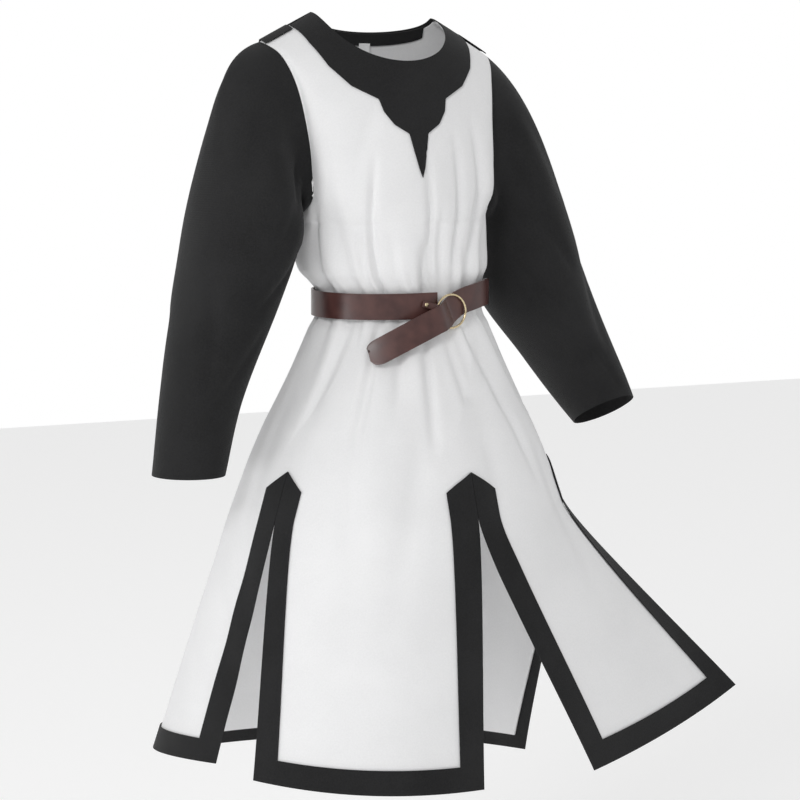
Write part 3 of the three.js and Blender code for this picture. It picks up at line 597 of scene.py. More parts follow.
@dataclass
class NodeTree:
    """A short way to add and join the nodes of one material."""

    material: bpy.types.Material
    shader: bpy.types.Node = field(init=False)

    def __post_init__(self) -> None:
        """Finds the material's own shader."""
        self.material.use_nodes = True
        self.shader = self.material.node_tree.nodes["Principled BSDF"]

    def add(self, kind: str, **values: object) -> bpy.types.Node:
        """Adds a node and sets what is named on it.

        Args:
            kind: the node's type.
            values: its properties, or its inputs where it has one of that name.

        Returns:
            The node.
        """
        node = self.material.node_tree.nodes.new(kind)
        for name, value in values.items():
            socket = node.inputs.get(name.replace("_", " ").title())
            if hasattr(node, name):
                setattr(node, name, value)
            elif socket is not None:
                socket.default_value = value
        return node

    def join(self, start: bpy.types.NodeSocket, end: bpy.types.NodeSocket) -> None:
        """Links an output to an input."""
        self.material.node_tree.links.new(start, end)

    def math(self, operation: str, a: object, b: object = 0.0) -> bpy.types.NodeSocket:
        """Adds a sum of two values.

        Args:
            operation: the sum's name.
            a: a socket or a number.
            b: a socket or a number.

        Returns:
            The result's socket.
        """
        node = self.material.node_tree.nodes.new("ShaderNodeMath")
        node.operation = operation
        for socket, value in zip(node.inputs, (a, b)):
            if isinstance(value, (int, float)):
                socket.default_value = value
            else:
                self.join(value, socket)
        return node.outputs[0]

    def ramp(
        self, value: bpy.types.NodeSocket, low: tuple, high: tuple, start: float, end: float
    ) -> bpy.types.NodeSocket:
        """Adds a colour ramp between two colours.

        Args:
            value: what the ramp follows.
            low: the first colour.
            high: the last colour.
            start: the value at which the first colour ends.
            end: the value at which the last colour begins.

        Returns:
            The colour's socket.
        """
        node = self.material.node_tree.nodes.new("ShaderNodeValToRGB")
        first, second = node.color_ramp.elements
        first.position, first.color = start, (*low, 1)
        second.position, second.color = end, (*high, 1)
        self.join(value, node.inputs[0])
        return node.outputs[0]


@dataclass(frozen=True)
class WovenCloth:
    """A plain woven cloth with soft fuzz."""

    name: str
    light: tuple[float, float, float]
    dark: tuple[float, float, float]
    thread: float = 0.0009
    roughness: float = 0.88
    sheen: float = 0.2
    sheen_roughness: float = 0.5
    relief: float = 0.25
    cloudiness: float = 0.55

    def material(self) -> bpy.types.Material:
        """Makes the cloth's material, with threads across and down its flat places."""
        material = bpy.data.materials.new(self.name)
        tree = NodeTree(material)
        flat = tree.add("ShaderNodeUVMap", uv_map="flat")
        apart = tree.add("ShaderNodeSeparateXYZ")
        tree.join(flat.outputs[0], apart.inputs[0])
        turn = 2 * math.pi / self.thread
        warp = tree.math("SINE", tree.math("MULTIPLY", apart.outputs[0], turn))
        weft = tree.math("SINE", tree.math("MULTIPLY", apart.outputs[1], turn))
        weave = tree.math("MULTIPLY", warp, weft)
        place = tree.add("ShaderNodeTexCoord").outputs["Object"]
        slub = tree.add("ShaderNodeTexNoise", scale=420.0, detail=3.0)
        cloud = tree.add("ShaderNodeTexNoise", scale=9.0, detail=4.0)
        tree.join(place, slub.inputs["Vector"])
        tree.join(place, cloud.inputs["Vector"])
        clouds = tree.math("MULTIPLY", cloud.outputs[0], self.cloudiness)
        tone = tree.math("ADD", clouds, tree.math("MULTIPLY", slub.outputs[0], 1 - self.cloudiness))
        tree.join(tree.ramp(tone, self.dark, self.light, 0.36, 0.62), tree.shader.inputs["Base Color"])
        height = tree.math("ADD", tree.math("MULTIPLY", weave, 0.5), slub.outputs[0])
        bump = tree.add("ShaderNodeBump", strength=self.relief, distance=0.0004)
        tree.join(height, bump.inputs["Height"])
        tree.join(bump.outputs[0], tree.shader.inputs["Normal"])
        tree.shader.inputs["Roughness"].default_value = self.roughness
        tree.shader.inputs["Specular IOR Level"].default_value = 0.25
        tree.shader.inputs["Sheen Weight"].default_value = self.sheen
        tree.shader.inputs["Sheen Roughness"].default_value = self.sheen_roughness
        return material


@dataclass(frozen=True)
class SmoothLeather:
    """Brown leather with a fine grain and a soft polish."""

    name: str = "brown_leather"
    light: tuple[float, float, float] = (0.086, 0.033, 0.028)
    dark: tuple[float, float, float] = (0.050, 0.018, 0.016)

    def material(self) -> bpy.types.Material:
        """Makes the leather's material, with a pebble grain and mottled polish."""
        material = bpy.data.materials.new(self.name)
        tree = NodeTree(material)
        place = tree.add("ShaderNodeTexCoord").outputs["Object"]
        grain = tree.add("ShaderNodeTexVoronoi", scale=900.0)
        mottle = tree.add("ShaderNodeTexNoise", scale=38.0, detail=5.0)
        tree.join(place, grain.inputs["Vector"])
        tree.join(place, mottle.inputs["Vector"])
        colour = tree.ramp(mottle.outputs[0], self.dark, self.light, 0.35, 0.68)
        polish = tree.ramp(mottle.outputs[0], (0.30,) * 3, (0.44,) * 3, 0.3, 0.7)
        tree.join(colour, tree.shader.inputs["Base Color"])
        tree.join(polish, tree.shader.inputs["Roughness"])
        bump = tree.add("ShaderNodeBump", strength=0.22, distance=0.0003)
        tree.join(grain.outputs["Distance"], bump.inputs["Height"])
        tree.join(bump.outputs[0], tree.shader.inputs["Normal"])
        tree.shader.inputs["Coat Weight"].default_value = 0.12
        tree.shader.inputs["Coat Roughness"].default_value = 0.3
        return material


@dataclass(frozen=True)
class PaleBrass:
    """Polished pale brass with faint handling marks."""

    name: str = "pale_brass"
    light: tuple[float, float, float] = (0.78, 0.66, 0.44)
    dark: tuple[float, float, float] = (0.62, 0.50, 0.30)

    def material(self) -> bpy.types.Material:
        """Makes the metal's material, with uneven polish."""
        material = bpy.data.materials.new(self.name)
        tree = NodeTree(material)
        place = tree.add("ShaderNodeTexCoord").outputs["Object"]
        marks = tree.add("ShaderNodeTexNoise", scale=260.0, detail=4.0)
        tree.join(place, marks.inputs["Vector"])
        colour = tree.ramp(marks.outputs[0], self.dark, self.light, 0.3, 0.7)
        polish = tree.ramp(marks.outputs[0], (0.16,) * 3, (0.32,) * 3, 0.3, 0.7)
        tree.join(colour, tree.shader.inputs["Base Color"])
        tree.join(polish, tree.shader.inputs["Roughness"])
        bump = tree.add("ShaderNodeBump", strength=0.05, distance=0.0002)
        tree.join(marks.outputs[0], bump.inputs["Height"])
        tree.join(bump.outputs[0], tree.shader.inputs["Normal"])
        tree.shader.inputs["Metallic"].default_value = 1.0
        return material


@dataclass
class Finishes:
    """The tunic's materials, each made once."""

    white: bpy.types.Material = field(init=False)
    black: bpy.types.Material = field(init=False)
    leather: bpy.types.Material = field(init=False)
    brass: bpy.types.Material = field(init=False)
    label: bpy.types.Material = field(init=False)

    def __post_init__(self) -> None:
        """Makes every material."""
        self.white = WovenCloth("white_cloth", (0.80, 0.80, 0.805), (0.75, 0.75, 0.755)).material()
        self.black = WovenCloth(
            "black_cloth", (0.0165, 0.0165, 0.0172), (0.0085, 0.0085, 0.009), sheen=0.05, relief=0.35
        ).material()
        self.leather = SmoothLeather().material()
        self.brass = PaleBrass().material()
        tape = WovenCloth("label_tape", (0.88, 0.88, 0.88), (0.82, 0.82, 0.83), thread=0.0005)
        self.label = tape.material()


def alone(piece: bpy.types.Object) -> None:
    """Makes one object the only selected and the active one."""
    bpy.ops.object.select_all(action="DESELECT")
    piece.select_set(True)
    bpy.context.view_layer.objects.active = piece


def apply_modifier(piece: bpy.types.Object, kind: str, **settings: object) -> None:
    """Adds a modifier to a piece, sets it and applies it.

    Args:
        piece: the object.
        kind: the modifier's type.
        settings: the modifier's properties.
    """
    modifier = piece.modifiers.new(kind.lower(), kind)
    for name, value in settings.items():
        setattr(modifier, name, value)
    alone(piece)
    bpy.ops.object.modifier_apply(modifier=modifier.name)


def surface_of(name: str, patches: Sequence[Patch]) -> bpy.types.Object:
    """Joins patches into one open surface with a flat map.

    Args:
        name: the object's name.
        patches: grids whose rows run down and whose columns run to the wearer's left, seen from outside.

    Returns:
        The object.
    """
    points: list = []
    faces: list = []
    flats: list = []
    for patch in patches:
        rows, columns = patch.points.shape[:2]
        start = len(points)
        points += patch.points.reshape(-1, 3).tolist()
        flats += patch.flat.reshape(-1, 2).tolist()
        corner = start + np.arange(rows - 1)[:, None] * columns + np.arange(columns - 1)[None, :]
        quads = np.stack([corner, corner + columns, corner + columns + 1, corner + 1], axis=-1)
        faces += quads.reshape(-1, 4).tolist()
    mesh = bpy.data.meshes.new(name)
    mesh.from_pydata(points, [], faces)
    layer = mesh.uv_layers.new(name="flat")
    corners = np.empty(len(mesh.loops), int)
    mesh.loops.foreach_get("vertex_index", corners)
    layer.data.foreach_set("uv", np.array(flats)[corners].reshape(-1))
    work = bmesh.new()
    work.from_mesh(mesh)
    bmesh.ops.remove_doubles(work, verts=work.verts, dist=0.00002)
    work.to_mesh(mesh)
    work.free()
    piece = bpy.data.objects.new(name, mesh)
    bpy.context.collection.objects.link(piece)
    return piece


def lifted(piece: bpy.types.Object, lift: float) -> None:
    """Moves a surface out along its own normals."""
    mesh = piece.data
    places = np.empty(len(mesh.vertices) * 3)
    normals = np.empty(len(mesh.vertices) * 3)
    mesh.vertices.foreach_get("co", places)
    mesh.vertex_normals.foreach_get("vector", normals)
    mesh.vertices.foreach_set("co", places + normals * lift)
    mesh.update()


def finished(piece: bpy.types.Object, material: bpy.types.Material, sharp: float = 48) -> None:
    """Shades a piece, gives it its material and puts it on the body.

    Args:
        piece: the object.
        material: its finish.
        sharp: edges that turn more than this many degrees stay sharp.
    """
    piece.data.materials.clear()
    piece.data.materials.append(material)
    alone(piece)
    bpy.ops.object.shade_smooth_by_angle(angle=math.radians(sharp))
    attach(piece, "root")
    log.info("%s: %d faces", piece.name, len(piece.data.polygons))


def cloth_wall(
    name: str,
    patches: Sequence[Patch],
    thick: float,
    lift: float,
    material: bpy.types.Material,
    node: str,
) -> bpy.types.Object:
    """Makes a closed thin wall of cloth that stands for a solid.

    Args:
        name: the object's name.
        patches: the cloth's grids.
        thick: the wall's thickness.
        lift: how far the outer skin lies out from the grids.
        material: its finish.
        node: the solid that it replaces.

    Returns:
        The object.
    """
    piece = surface_of(name, patches)
    if lift:
        lifted(piece, lift)
    apply_modifier(piece, "SOLIDIFY", thickness=thick, offset=-1)
    finished(piece, material)
    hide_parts(node)
    return piece


def seamed(points: Array) -> Array:
    """Draws a grid's top and side edges, which meet another cloth, in by the seam's gap."""
    out = points.copy()
    out[:, 0] += unit(points[:, 1] - points[:, 0]) * SEAM_GAP
    out[:, -1] += unit(points[:, -2] - points[:, -1]) * SEAM_GAP
    out[0] += unit(points[1] - points[0]) * SEAM_GAP
    return out


@dataclass
class BodyCloth:
    """The white front or back: from the shoulders to the hem, with three strips between the slits."""

    name: str
    facing: int
    panels: tuple[Panel, Panel, Panel]
    flat_size: tuple[float, float]
    flat_area: float
    shoulder_columns: int = 38
    neck_columns: int = 64
    yoke_rows: int = 56
    body_rows: int = 132
    strip_rows: int = 96
    row_growth: float = 1.7
    strip_blend: float = 0.08

    def side_part(self) -> float:
        """How much of a side panel this cloth takes, from its slit to the side seam."""
        slit = FRONT_SLIT_ANGLE if self.facing > 0 else math.pi - BACK_SLIT_ANGLE
        return (math.pi / 2 - slit) / (BACK_SLIT_ANGLE - FRONT_SLIT_ANGLE)

    def columns(self) -> tuple[int, int, int]:
        """How many columns each of the three strips takes."""
        total = 2 * self.shoulder_columns + self.neck_columns
        slit = FRONT_SLIT_ANGLE if self.facing > 0 else math.pi - BACK_SLIT_ANGLE
        side = round(total * (0.5 - slit / math.pi))
        return side, total - 2 * side, side

    def top_places(self) -> Array:
        """Places across the top edge, from the wearer's right to the left as seen from the front."""
        wide = NECK_HALF + NECK_ALLOWANCE
        shoulder = np.linspace(SHOULDER_HALF, wide, self.shoulder_columns + 1)
        neck = wide * np.cos(np.linspace(0, math.pi, self.neck_columns + 1))
        return np.concatenate([-shoulder, -neck[1:-1], shoulder[::-1]])

    def top_edge(self, x: Array) -> Array:
        """Height of the cloth's top edge, a little outside the collar's neckline.

        Args:
            x: distances from the middle.

        Returns:
            The heights.
        """
        wide = NECK_HALF + NECK_ALLOWANCE
        inside = np.clip(x / wide, -1, 1)
        dip = neckline(inside * NECK_HALF, self.facing) - NECK_ALLOWANCE * (1 - inside**2)
        return np.where(np.abs(x) >= wide - 1e-5, shoulder_line(x), shoulder_line(wide) + dip)

    def share(self, strip: int, s: Array, fall: Array) -> Array:
        """Where a strip's columns lie on its panel, short of the slits.

        Args:
            strip: 0, 1 or 2, from the wearer's right on the front.
            s: places across the strip.
            fall: places down the panel.

        Returns:
            Shares of the panel, a row for each fall.
        """
        short = (WHITE_SHORT / self.panels[strip].width(fall))[:, None]
        low = 1 - self.side_part() if strip == 0 else short
        high = self.side_part() if strip == 2 else 1 - short
        return mix(low, high, s[None, :]) * np.ones_like(short)

    def column_place(self, share: Array, t: Array) -> Array:
        """How far across a column lies at each share of the armhole's depth, whose curve draws it in."""
        return share * mix(SHOULDER_HALF, column_along(ARMHOLE_EDGE, "t", "half", t), np.abs(share) ** 4)

    def column_at(self, x: Array, t: Array) -> Array:
        """The column that passes through each place.

        Args:
            x: distances from the middle.
            t: shares of the armhole's depth.

        Returns:
            The columns, as shares of the shoulder's half width.
        """
        share = x / SHOULDER_HALF
        for _ in range(12):
            reached = self.column_place(share, t)
            share = share * np.where(np.abs(reached) > 1e-9, x / np.where(reached == 0, 1, reached), 1)
        return share

    def rows(self) -> Array:
        """The grid of the upper part, from the top edge to where the slits open."""
        open_angles = []
        for strip, count in enumerate(self.columns()):
            s = np.linspace(0, 1, count + 1)
            panel = self.panels[strip]
            angles = mix(panel.first, panel.last, self.share(strip, s, np.zeros(1))[0])
            if self.facing > 0 and strip == 0:
                angles = angles - 2 * math.pi
            open_angles.append(angles)
        angles = np.concatenate([open_angles[0], open_angles[1][1:], open_angles[2][1:]])
        seams = np.cumsum([0, *self.columns()])
        angles[seams[1]] = (open_angles[0][-1] + open_angles[1][0]) / 2
        angles[seams[2]] = (open_angles[1][-1] + open_angles[2][0]) / 2
        x = self.top_places() * self.facing
        top = self.top_edge(x)
        line = shoulder_line(x)
        share = self.column_at(x, (line - top) / (line - UNDERARM_Z))
        under = np.abs(self.column_place(share, np.ones_like(share))) / BODY_RINGS[0].half
        lean = np.arcsin(np.minimum(1, under) ** (RING_ROUNDNESS / 2)) * np.sign(x)
        top_angle = lean if self.facing > 0 else math.pi - lean
        down = (np.linspace(0, 1, self.yoke_rows + 1) ** self.row_growth)[:, None]
        z = mix(top[None, :], UNDERARM_Z, down)
        t = (line - z) / (line - UNDERARM_Z)
        yoke = yoke_point(self.column_place(share, t), z, self.facing)
        levels = np.linspace(UNDERARM_Z, SLIT_OPEN_Z, self.body_rows + 1)[1:, None]
        spread = smooth((UNDERARM_Z - levels) / (UNDERARM_Z - SPREAD_Z))
        lower = body_point(mix(top_angle[None, :], angles[None, :], spread), levels + 0 * angles[None, :])
        return creased(np.concatenate([yoke, lower]))

    def patches(self, upper: Array) -> list[Patch]:
        """The cloth's grids: the upper part and the three strips.

        Args:
            upper: the grid down to where the slits open.

        Returns:
            The four patches, joined along their shared rows.
        """
        seams = np.cumsum([0, *self.columns()])
        parts = [Patch.of(seamed(upper))]
        falls = np.linspace(0, 1 - WHITE_SHORT / PANEL_LENGTH, self.strip_rows + 1)
        for strip, count in enumerate(self.columns()):
            s = np.linspace(0, 1, count + 1)
            points = self.panels[strip].point(self.share(strip, s, falls), falls[:, None])
            blend = (1 - smooth(falls / self.strip_blend))[:, None, None]
            edge = upper[-1, seams[strip] : seams[strip + 1] + 1]
            points = points + (edge - points[0])[None, :, :] * blend
            parts.append(Patch.of(points))
        return parts

    def build(self, finishes: Finishes) -> bpy.types.Object:
        """Makes the cloth."""
        upper = self.rows()
        piece = cloth_wall(
            f"{self.name}_cloth", self.patches(upper), CLOTH, 0, finishes.white, self.name
        )
        return piece


@dataclass(frozen=True)
class SleeveSection:
    """A section of a sleeve: its middle, half sizes across and from front to back, how far its front swings
    in, in degrees, and how it rises outwards and to the front."""

    x: float
    y: float
    z: float
    across: float
    deep: float
    swing: float = 0.0
    rise_out: float = 0.0
    rise_front: float = 0.0


@dataclass
class Sleeve:
    """A long loose sleeve from the armhole's edge to the open cuff."""

    name: str
    side: int
    head_drop: float
    sections: tuple[SleeveSection, ...]
    creases: tuple[Crease, ...]
    flat_size: tuple[float, float]
    flat_area: float
    around: int = 112
    head_rows: int = 40
    arm_rows: int = 110

    def row(self, column: str, z: Array) -> Array:
        """A column of the sections' table at given heights."""
        return column_along(self.sections, "z", column, z)

    def section(self, turn: Array, z: Array) -> Array:
        """Points of the arm's round sections.

        Args:
            turn: turns round the arm, from its outside to its front.
            z: the sections' heights.

        Returns:
            The points.
        """
        out = np.cos(turn) * self.row("across", z)
        front = np.sin(turn) * self.row("deep", z)
        swing = np.radians(self.row("swing", z))
        beside = self.side * (out * np.cos(swing) - front * np.sin(swing))
        ahead = front * np.cos(swing) + out * np.sin(swing)
        rise = beside * self.row("rise_out", z) + ahead * self.row("rise_front", z)
        return stack(self.row("x", z) + beside, self.row("y", z) - ahead, z + rise)

    def loop(self, front: Array, back: Array, rows: int) -> Array:
        """The armhole's edge: down the front from the shoulder and up the back.

        Args:
            front: the front cloth's grid.
            back: the back cloth's grid.
            rows: how many of their rows lie above the underarm.

        Returns:
            Points at the sleeve's own columns.
        """
        front_edge = front[: rows + 1, -1 if self.side > 0 else 0]
        back_edge = back[: rows + 1, 0 if self.side > 0 else -1]
        edge = np.concatenate([front_edge, back_edge[::-1][1:]])
        lengths = np.concatenate([[0], np.cumsum(np.linalg.norm(np.diff(edge, axis=0), axis=-1))])
        coarse = 20
        marks = self.marks(front_edge, back_edge, coarse)
        turns = np.interp(np.arange(self.around + 1) * coarse / self.around, np.arange(coarse + 1), marks)
        return np.stack([np.interp(turns, lengths, edge[:, k]) for k in range(3)], axis=-1)

    def marks(self, front_edge: Array, back_edge: Array, coarse: int) -> Array:
        """Lengths along the armhole at which the arm's even turns begin, as the solid's rows have them.

        Args:
            front_edge: the front's armhole edge, downwards.
            back_edge: the back's armhole edge, downwards.
            coarse: how many columns the solid has round the arm.

        Returns:
            The lengths.
        """
        half = coarse // 2
        rows = len(front_edge) - 1
        spots = np.linspace(0, rows, half + 1)
        down = np.concatenate([[0], np.cumsum(np.linalg.norm(np.diff(front_edge, axis=0), axis=-1))])
        up = np.concatenate([[0], np.cumsum(np.linalg.norm(np.diff(back_edge[::-1], axis=0), axis=-1))])
        first = np.interp(spots, np.arange(rows + 1), down)
        second = down[-1] + np.interp(spots, np.arange(rows + 1), up)
        return np.concatenate([first, second[1:]])

    def grid(self, front: Array, back: Array, rows: int) -> Array:
        """The sleeve's grid, with its creases.

        Args:
            front: the front cloth's grid.
            back: the back cloth's grid.
            rows: how many of their rows lie above the underarm.

        Returns:
            The grid, closed round the arm.
        """
        edge = self.loop(front, back, rows)[None, :, :]
        turn = (2 * math.pi * np.arange(self.around + 1) / self.around)[None, :]
        first = self.sections[0].z
        goal = self.section(turn, np.full_like(turn, first))
        down = unit(self.section(turn, np.full_like(turn, first - 0.02)) - goal)
        long = np.linalg.norm(goal - edge, axis=-1, keepdims=True)
        drop = mix(HEAD_DROP, self.head_drop, np.cos(turn) * 0.5 + 0.5)
        out = unit(stack(self.side, 0.0, -drop))
        s = np.linspace(0, 1, self.head_rows + 1)[:, None, None]
        head = (
            (edge + out * SLEEVE_GAP) * (1 + 2 * s) * (1 - s) ** 2
            + goal * (3 - 2 * s) * s * s
            + out * long * s * (1 - s) ** 2
            - down * long * s * s * (1 - s)
        )
        z = np.linspace(first, self.sections[-1].z, self.arm_rows + 1)[1:, None]
        arm = self.section(turn + 0 * z, z + 0 * turn)
        grid = np.concatenate([head, arm])
        return self.drawn(grid, np.degrees(turn) * np.ones((len(grid), 1)))

    def drawn(self, grid: Array, turn: Array) -> Array:
        """Draws the creases into the grid along the arm's own outward directions.

        Args:
            grid: the smooth sleeve.
            turn: turns round the arm in degrees, for each point.

        Returns:
            The creased sleeve.
        """
        z = grid[..., 2]
        middle = stack(self.row("x", z), self.row("y", z), z)
        away = grid - middle
        radius = np.linalg.norm(away, axis=-1)
        fade = smooth(np.arange(len(grid)) / (0.5 * self.head_rows))[:, None]
        depth = crease_depth(self.creases, turn, z, 0.075) * fade
        return grid - away / radius[..., None] * depth[..., None]

    def build(self, finishes: Finishes, front: Array, back: Array, rows: int) -> bpy.types.Object:
        """Makes the sleeve."""
        grid = self.grid(front, back, rows)
        if self.side > 0:
            grid = grid[:, ::-1]
        node = f"sleeve_{self.name}"
        piece = cloth_wall(
            f"{node}_cloth", [Patch.of(grid)], CLOTH, 0, finishes.black, node
        )
        return piece


@dataclass(frozen=True)
class EdgeSpot:
    """A spot of the collar's outline: distance from the middle, and height."""

    x: float
    z: float


COLLAR_EDGE = (
    EdgeSpot(0.136, -0.0204),
    EdgeSpot(0.130, -0.042),
    EdgeSpot(0.115, -0.072),
    EdgeSpot(0.090, -0.098),
    EdgeSpot(0.054, -0.116),
    EdgeSpot(0.049, -0.134),
    EdgeSpot(0.036, -0.152),
    EdgeSpot(0.015, -0.165),
    EdgeSpot(0.010, -0.190),
    EdgeSpot(0.0045, -0.214),
    EdgeSpot(0.000, -0.228),
)


@dataclass
class Collar:
    """The black collar: a scalloped front with a long point, a plain band behind and what turns inside."""

    back_width: float = 0.044
    shoulder_width: float = 0.030
    shoulder_front: float = 0.004
    inner_depth: float = 0.018
    label_wide: float = 0.018
    label_tall: float = 0.026
    label_thick: float = 0.0008
    label_under: float = 0.0032
    round_rows: int = 130
    across: int = 26

    def back_outline(self) -> tuple[EdgeSpot, ...]:
        """The outline of the back band on one side, from the shoulder to the middle."""
        side = COLLAR_EDGE[0]
        low = NECK_BACK_DROP + self.back_width
        turns = np.linspace(0, math.pi / 2, 33)
        return tuple(EdgeSpot(side.x * math.cos(a), side.z - (low + side.z) * math.sin(a)) for a in turns)

    def grid(self, outline: Sequence[EdgeSpot], facing: int) -> Array:
        """The collar's grid, whose rows run round the neck and whose columns run out to its edge.

        Args:
            outline: one side's outline, from the shoulder to the middle.
            facing: 1 for the front, -1 for the back.

        Returns:
            The grid.
        """
        xs = np.array([spot.x for spot in outline])
        zs = np.array([spot.z for spot in outline])
        lengths = np.concatenate([[0], np.cumsum(np.hypot(np.diff(xs), np.diff(zs)))])
        share = np.linspace(0, 1, self.round_rows + 1) ** 1.5
        inner_x = NECK_HALF * np.cos(share * math.pi / 2)
        inner_z = neckline(inner_x, facing)
        outer_x = np.interp(share * lengths[-1], lengths, xs)
        outer_z = np.interp(share * lengths[-1], lengths, zs)
        s = np.linspace(0, 1, self.across + 1)[None, :]
        x = mix(inner_x[:, None], outer_x[:, None], s)
        z = mix(inner_z[:, None], outer_z[:, None], s)
        x = np.concatenate([-x, x[:-1][::-1]])
        z = np.concatenate([z, z[:-1][::-1]])
        if facing > 0:
            x, z = x[:, ::-1], z[:, ::-1]
        return self.laid(x, z, facing)

    def laid(self, x: Array, z: Array, facing: int) -> Array:
        """Lays places on the upper front or back."""
        return creased(yoke_point(x, np.minimum(z, shoulder_line(x)), facing))

    def shoulder_band(self, side: int) -> Array:
        """The grid of the band over a shoulder seam, from the collar to the armhole, most of it behind.

        Args:
            side: 1 for the wearer's left shoulder, -1 for the right.

        Returns:
            The grid.
        """
        x = np.linspace(COLLAR_EDGE[0].x + 0.002, SHOULDER_HALF - 0.0015, 25)[None, :]
        x = side * (x[:, ::-1] if side > 0 else x)
        ahead = (self.shoulder_front * np.linspace(1, 0, 13)[:-1] ** 1.7)[:, None]
        behind = (self.shoulder_width * np.linspace(0, 1, 25) ** 1.7)[:, None]
        front = self.laid(x + 0 * ahead, shoulder_line(x) - ahead, 1)
        return np.concatenate([front, self.laid(x + 0 * behind, shoulder_line(x) - behind, -1)])

    def inner_band(self) -> Array:
        """The grid of the strip that is turned to the inside of the back neck."""
        x = ((NECK_HALF - 0.006) * np.cos(np.linspace(0, math.pi, 61)))[None, :]
        down = (self.inner_depth * np.linspace(0, 1, 7))[:, None]
        return self.laid(x + 0 * down, neckline(x, -1) - 0.001 - down, -1)

    def label(self) -> Array:
        """The grid of the small blank label under that strip."""
        top = -NECK_BACK_DROP - self.inner_depth + 0.003
        x = (self.label_wide * np.linspace(0.5, -0.5, 11))[None, :]
        down = (self.label_tall * np.linspace(0, 1, 13))[:, None]
        return self.laid(x + 0 * down, top - down, -1)

    def build(self, finishes: Finishes) -> None:
        """Makes the collar's pieces."""
        behind = self.grid(self.back_outline(), -1)
        pieces = (
            ("collar_front", self.grid(COLLAR_EDGE, 1), TRIM_CLOTH, APPLIED_LIFT, (0.30, 0.23), 0.029),
            ("collar_back", behind, TRIM_CLOTH, APPLIED_LIFT, (0.28, 0.09), 0.012),
            ("shoulder_band_right", self.shoulder_band(-1), TRIM_CLOTH, BAND_LIFT, (0.084, 0.034), None),
            ("shoulder_band_left", self.shoulder_band(1), TRIM_CLOTH, BAND_LIFT, (0.084, 0.034), None),
            ("neck_band_inside", self.inner_band(), TRIM_CLOTH, -CLOTH - 0.001, (0.20, 0.018), None),
        )
        for name, grid, thick, lift, flat, area in pieces:
            piece = cloth_wall(
                f"{name}_cloth", [Patch.of(grid)], thick, lift, finishes.black, name
            )
        tape = [Patch.of(self.label())]
        under = -CLOTH - self.label_under
        label = cloth_wall(
            "neck_label_tape", tape, self.label_thick, under, finishes.label, "neck_label"
        )


@dataclass
class Border:
    """The black border of a panel: a strip down each slit, pointed at the top, and one along the hem."""

    panel: Panel
    flat_size: tuple[float, float]
    rows: int = 110
    across: int = 9
    hem_columns: int = 90

    def build(self, finishes: Finishes) -> bpy.types.Object:
        """Makes the border."""
        patches = [self.strip(-1), self.strip(1), self.hem()]
        name = f"border_{self.panel.name}"
        piece = cloth_wall(
            f"{name}_cloth", patches, TRIM_CLOTH, APPLIED_LIFT, finishes.black, name
        )
        return piece

    def shares(self, inward: Array, fall: Array) -> Array:
        """Shares of the panel across a border's width, at each fall."""
        wide = self.panel.width(fall.reshape(-1)).reshape(fall.shape)
        return mix(0.0003 / wide, BORDER_WIDTH / wide, inward)

    def strip(self, side: int) -> Patch:
        """The strip down one slit, whose top rises towards its inner edge.

        Args:
            side: -1 for the panel's first edge, 1 for its last.

        Returns:
            The strip's patch.
        """
        point_fall = (SLIT_OPEN_Z - SLIT_TOP_Z) / PANEL_LENGTH
        rise = BORDER_POINT_RISE / PANEL_LENGTH
        low = 1 - BORDER_WIDTH / PANEL_LENGTH
        inward = np.linspace(0, 1, self.across + 1)[None, :]
        inward = inward if side < 0 else inward[:, ::-1]
        down = np.linspace(0, 1, self.rows + 1)[:, None]
        fall = mix(point_fall + rise * inward, low, down)
        share = self.shares(inward + 0 * fall, fall)
        return Patch.of(self.panel.point(share if side < 0 else 1 - share, fall))

    def hem(self) -> Patch:
        """The strip along the hem, as wide as the panel."""
        low = 1 - BORDER_WIDTH / PANEL_LENGTH
        down = np.linspace(0, 1, self.across + 1)[:, None]
        fall = mix(low, 1, down)
        corner = np.linspace(0, 1, self.across + 1)[None, :]
        edge = self.shares(corner + 0 * fall, fall + 0 * corner)
        s = np.linspace(0, 1, self.hem_columns + 1)[None, 1:-1]
        middle = mix(edge[:, -1:], 1 - edge[:, -1:], s)
        share = np.concatenate([edge, middle, 1 - edge[:, ::-1]], axis=1)
        return Patch.of(self.panel.point(share, fall + 0 * share))


@dataclass(frozen=True)
class StrapSpot:
    """A spot of the belt's course: its turn in degrees, height, and distance out from the body."""

    turn: float
    z: float
    lift: float


def outward(angle: Array | float, z: Array | float) -> Array:
    """Level directions out of the smooth body at given angles and heights."""
    step = 0.01
    course = ring_point(np.asarray(angle + step), np.asarray(z), False) - ring_point(
        np.asarray(angle - step), np.asarray(z), False
    )
    return unit(np.cross(course, np.array([0.0, 0.0, 1.0])))


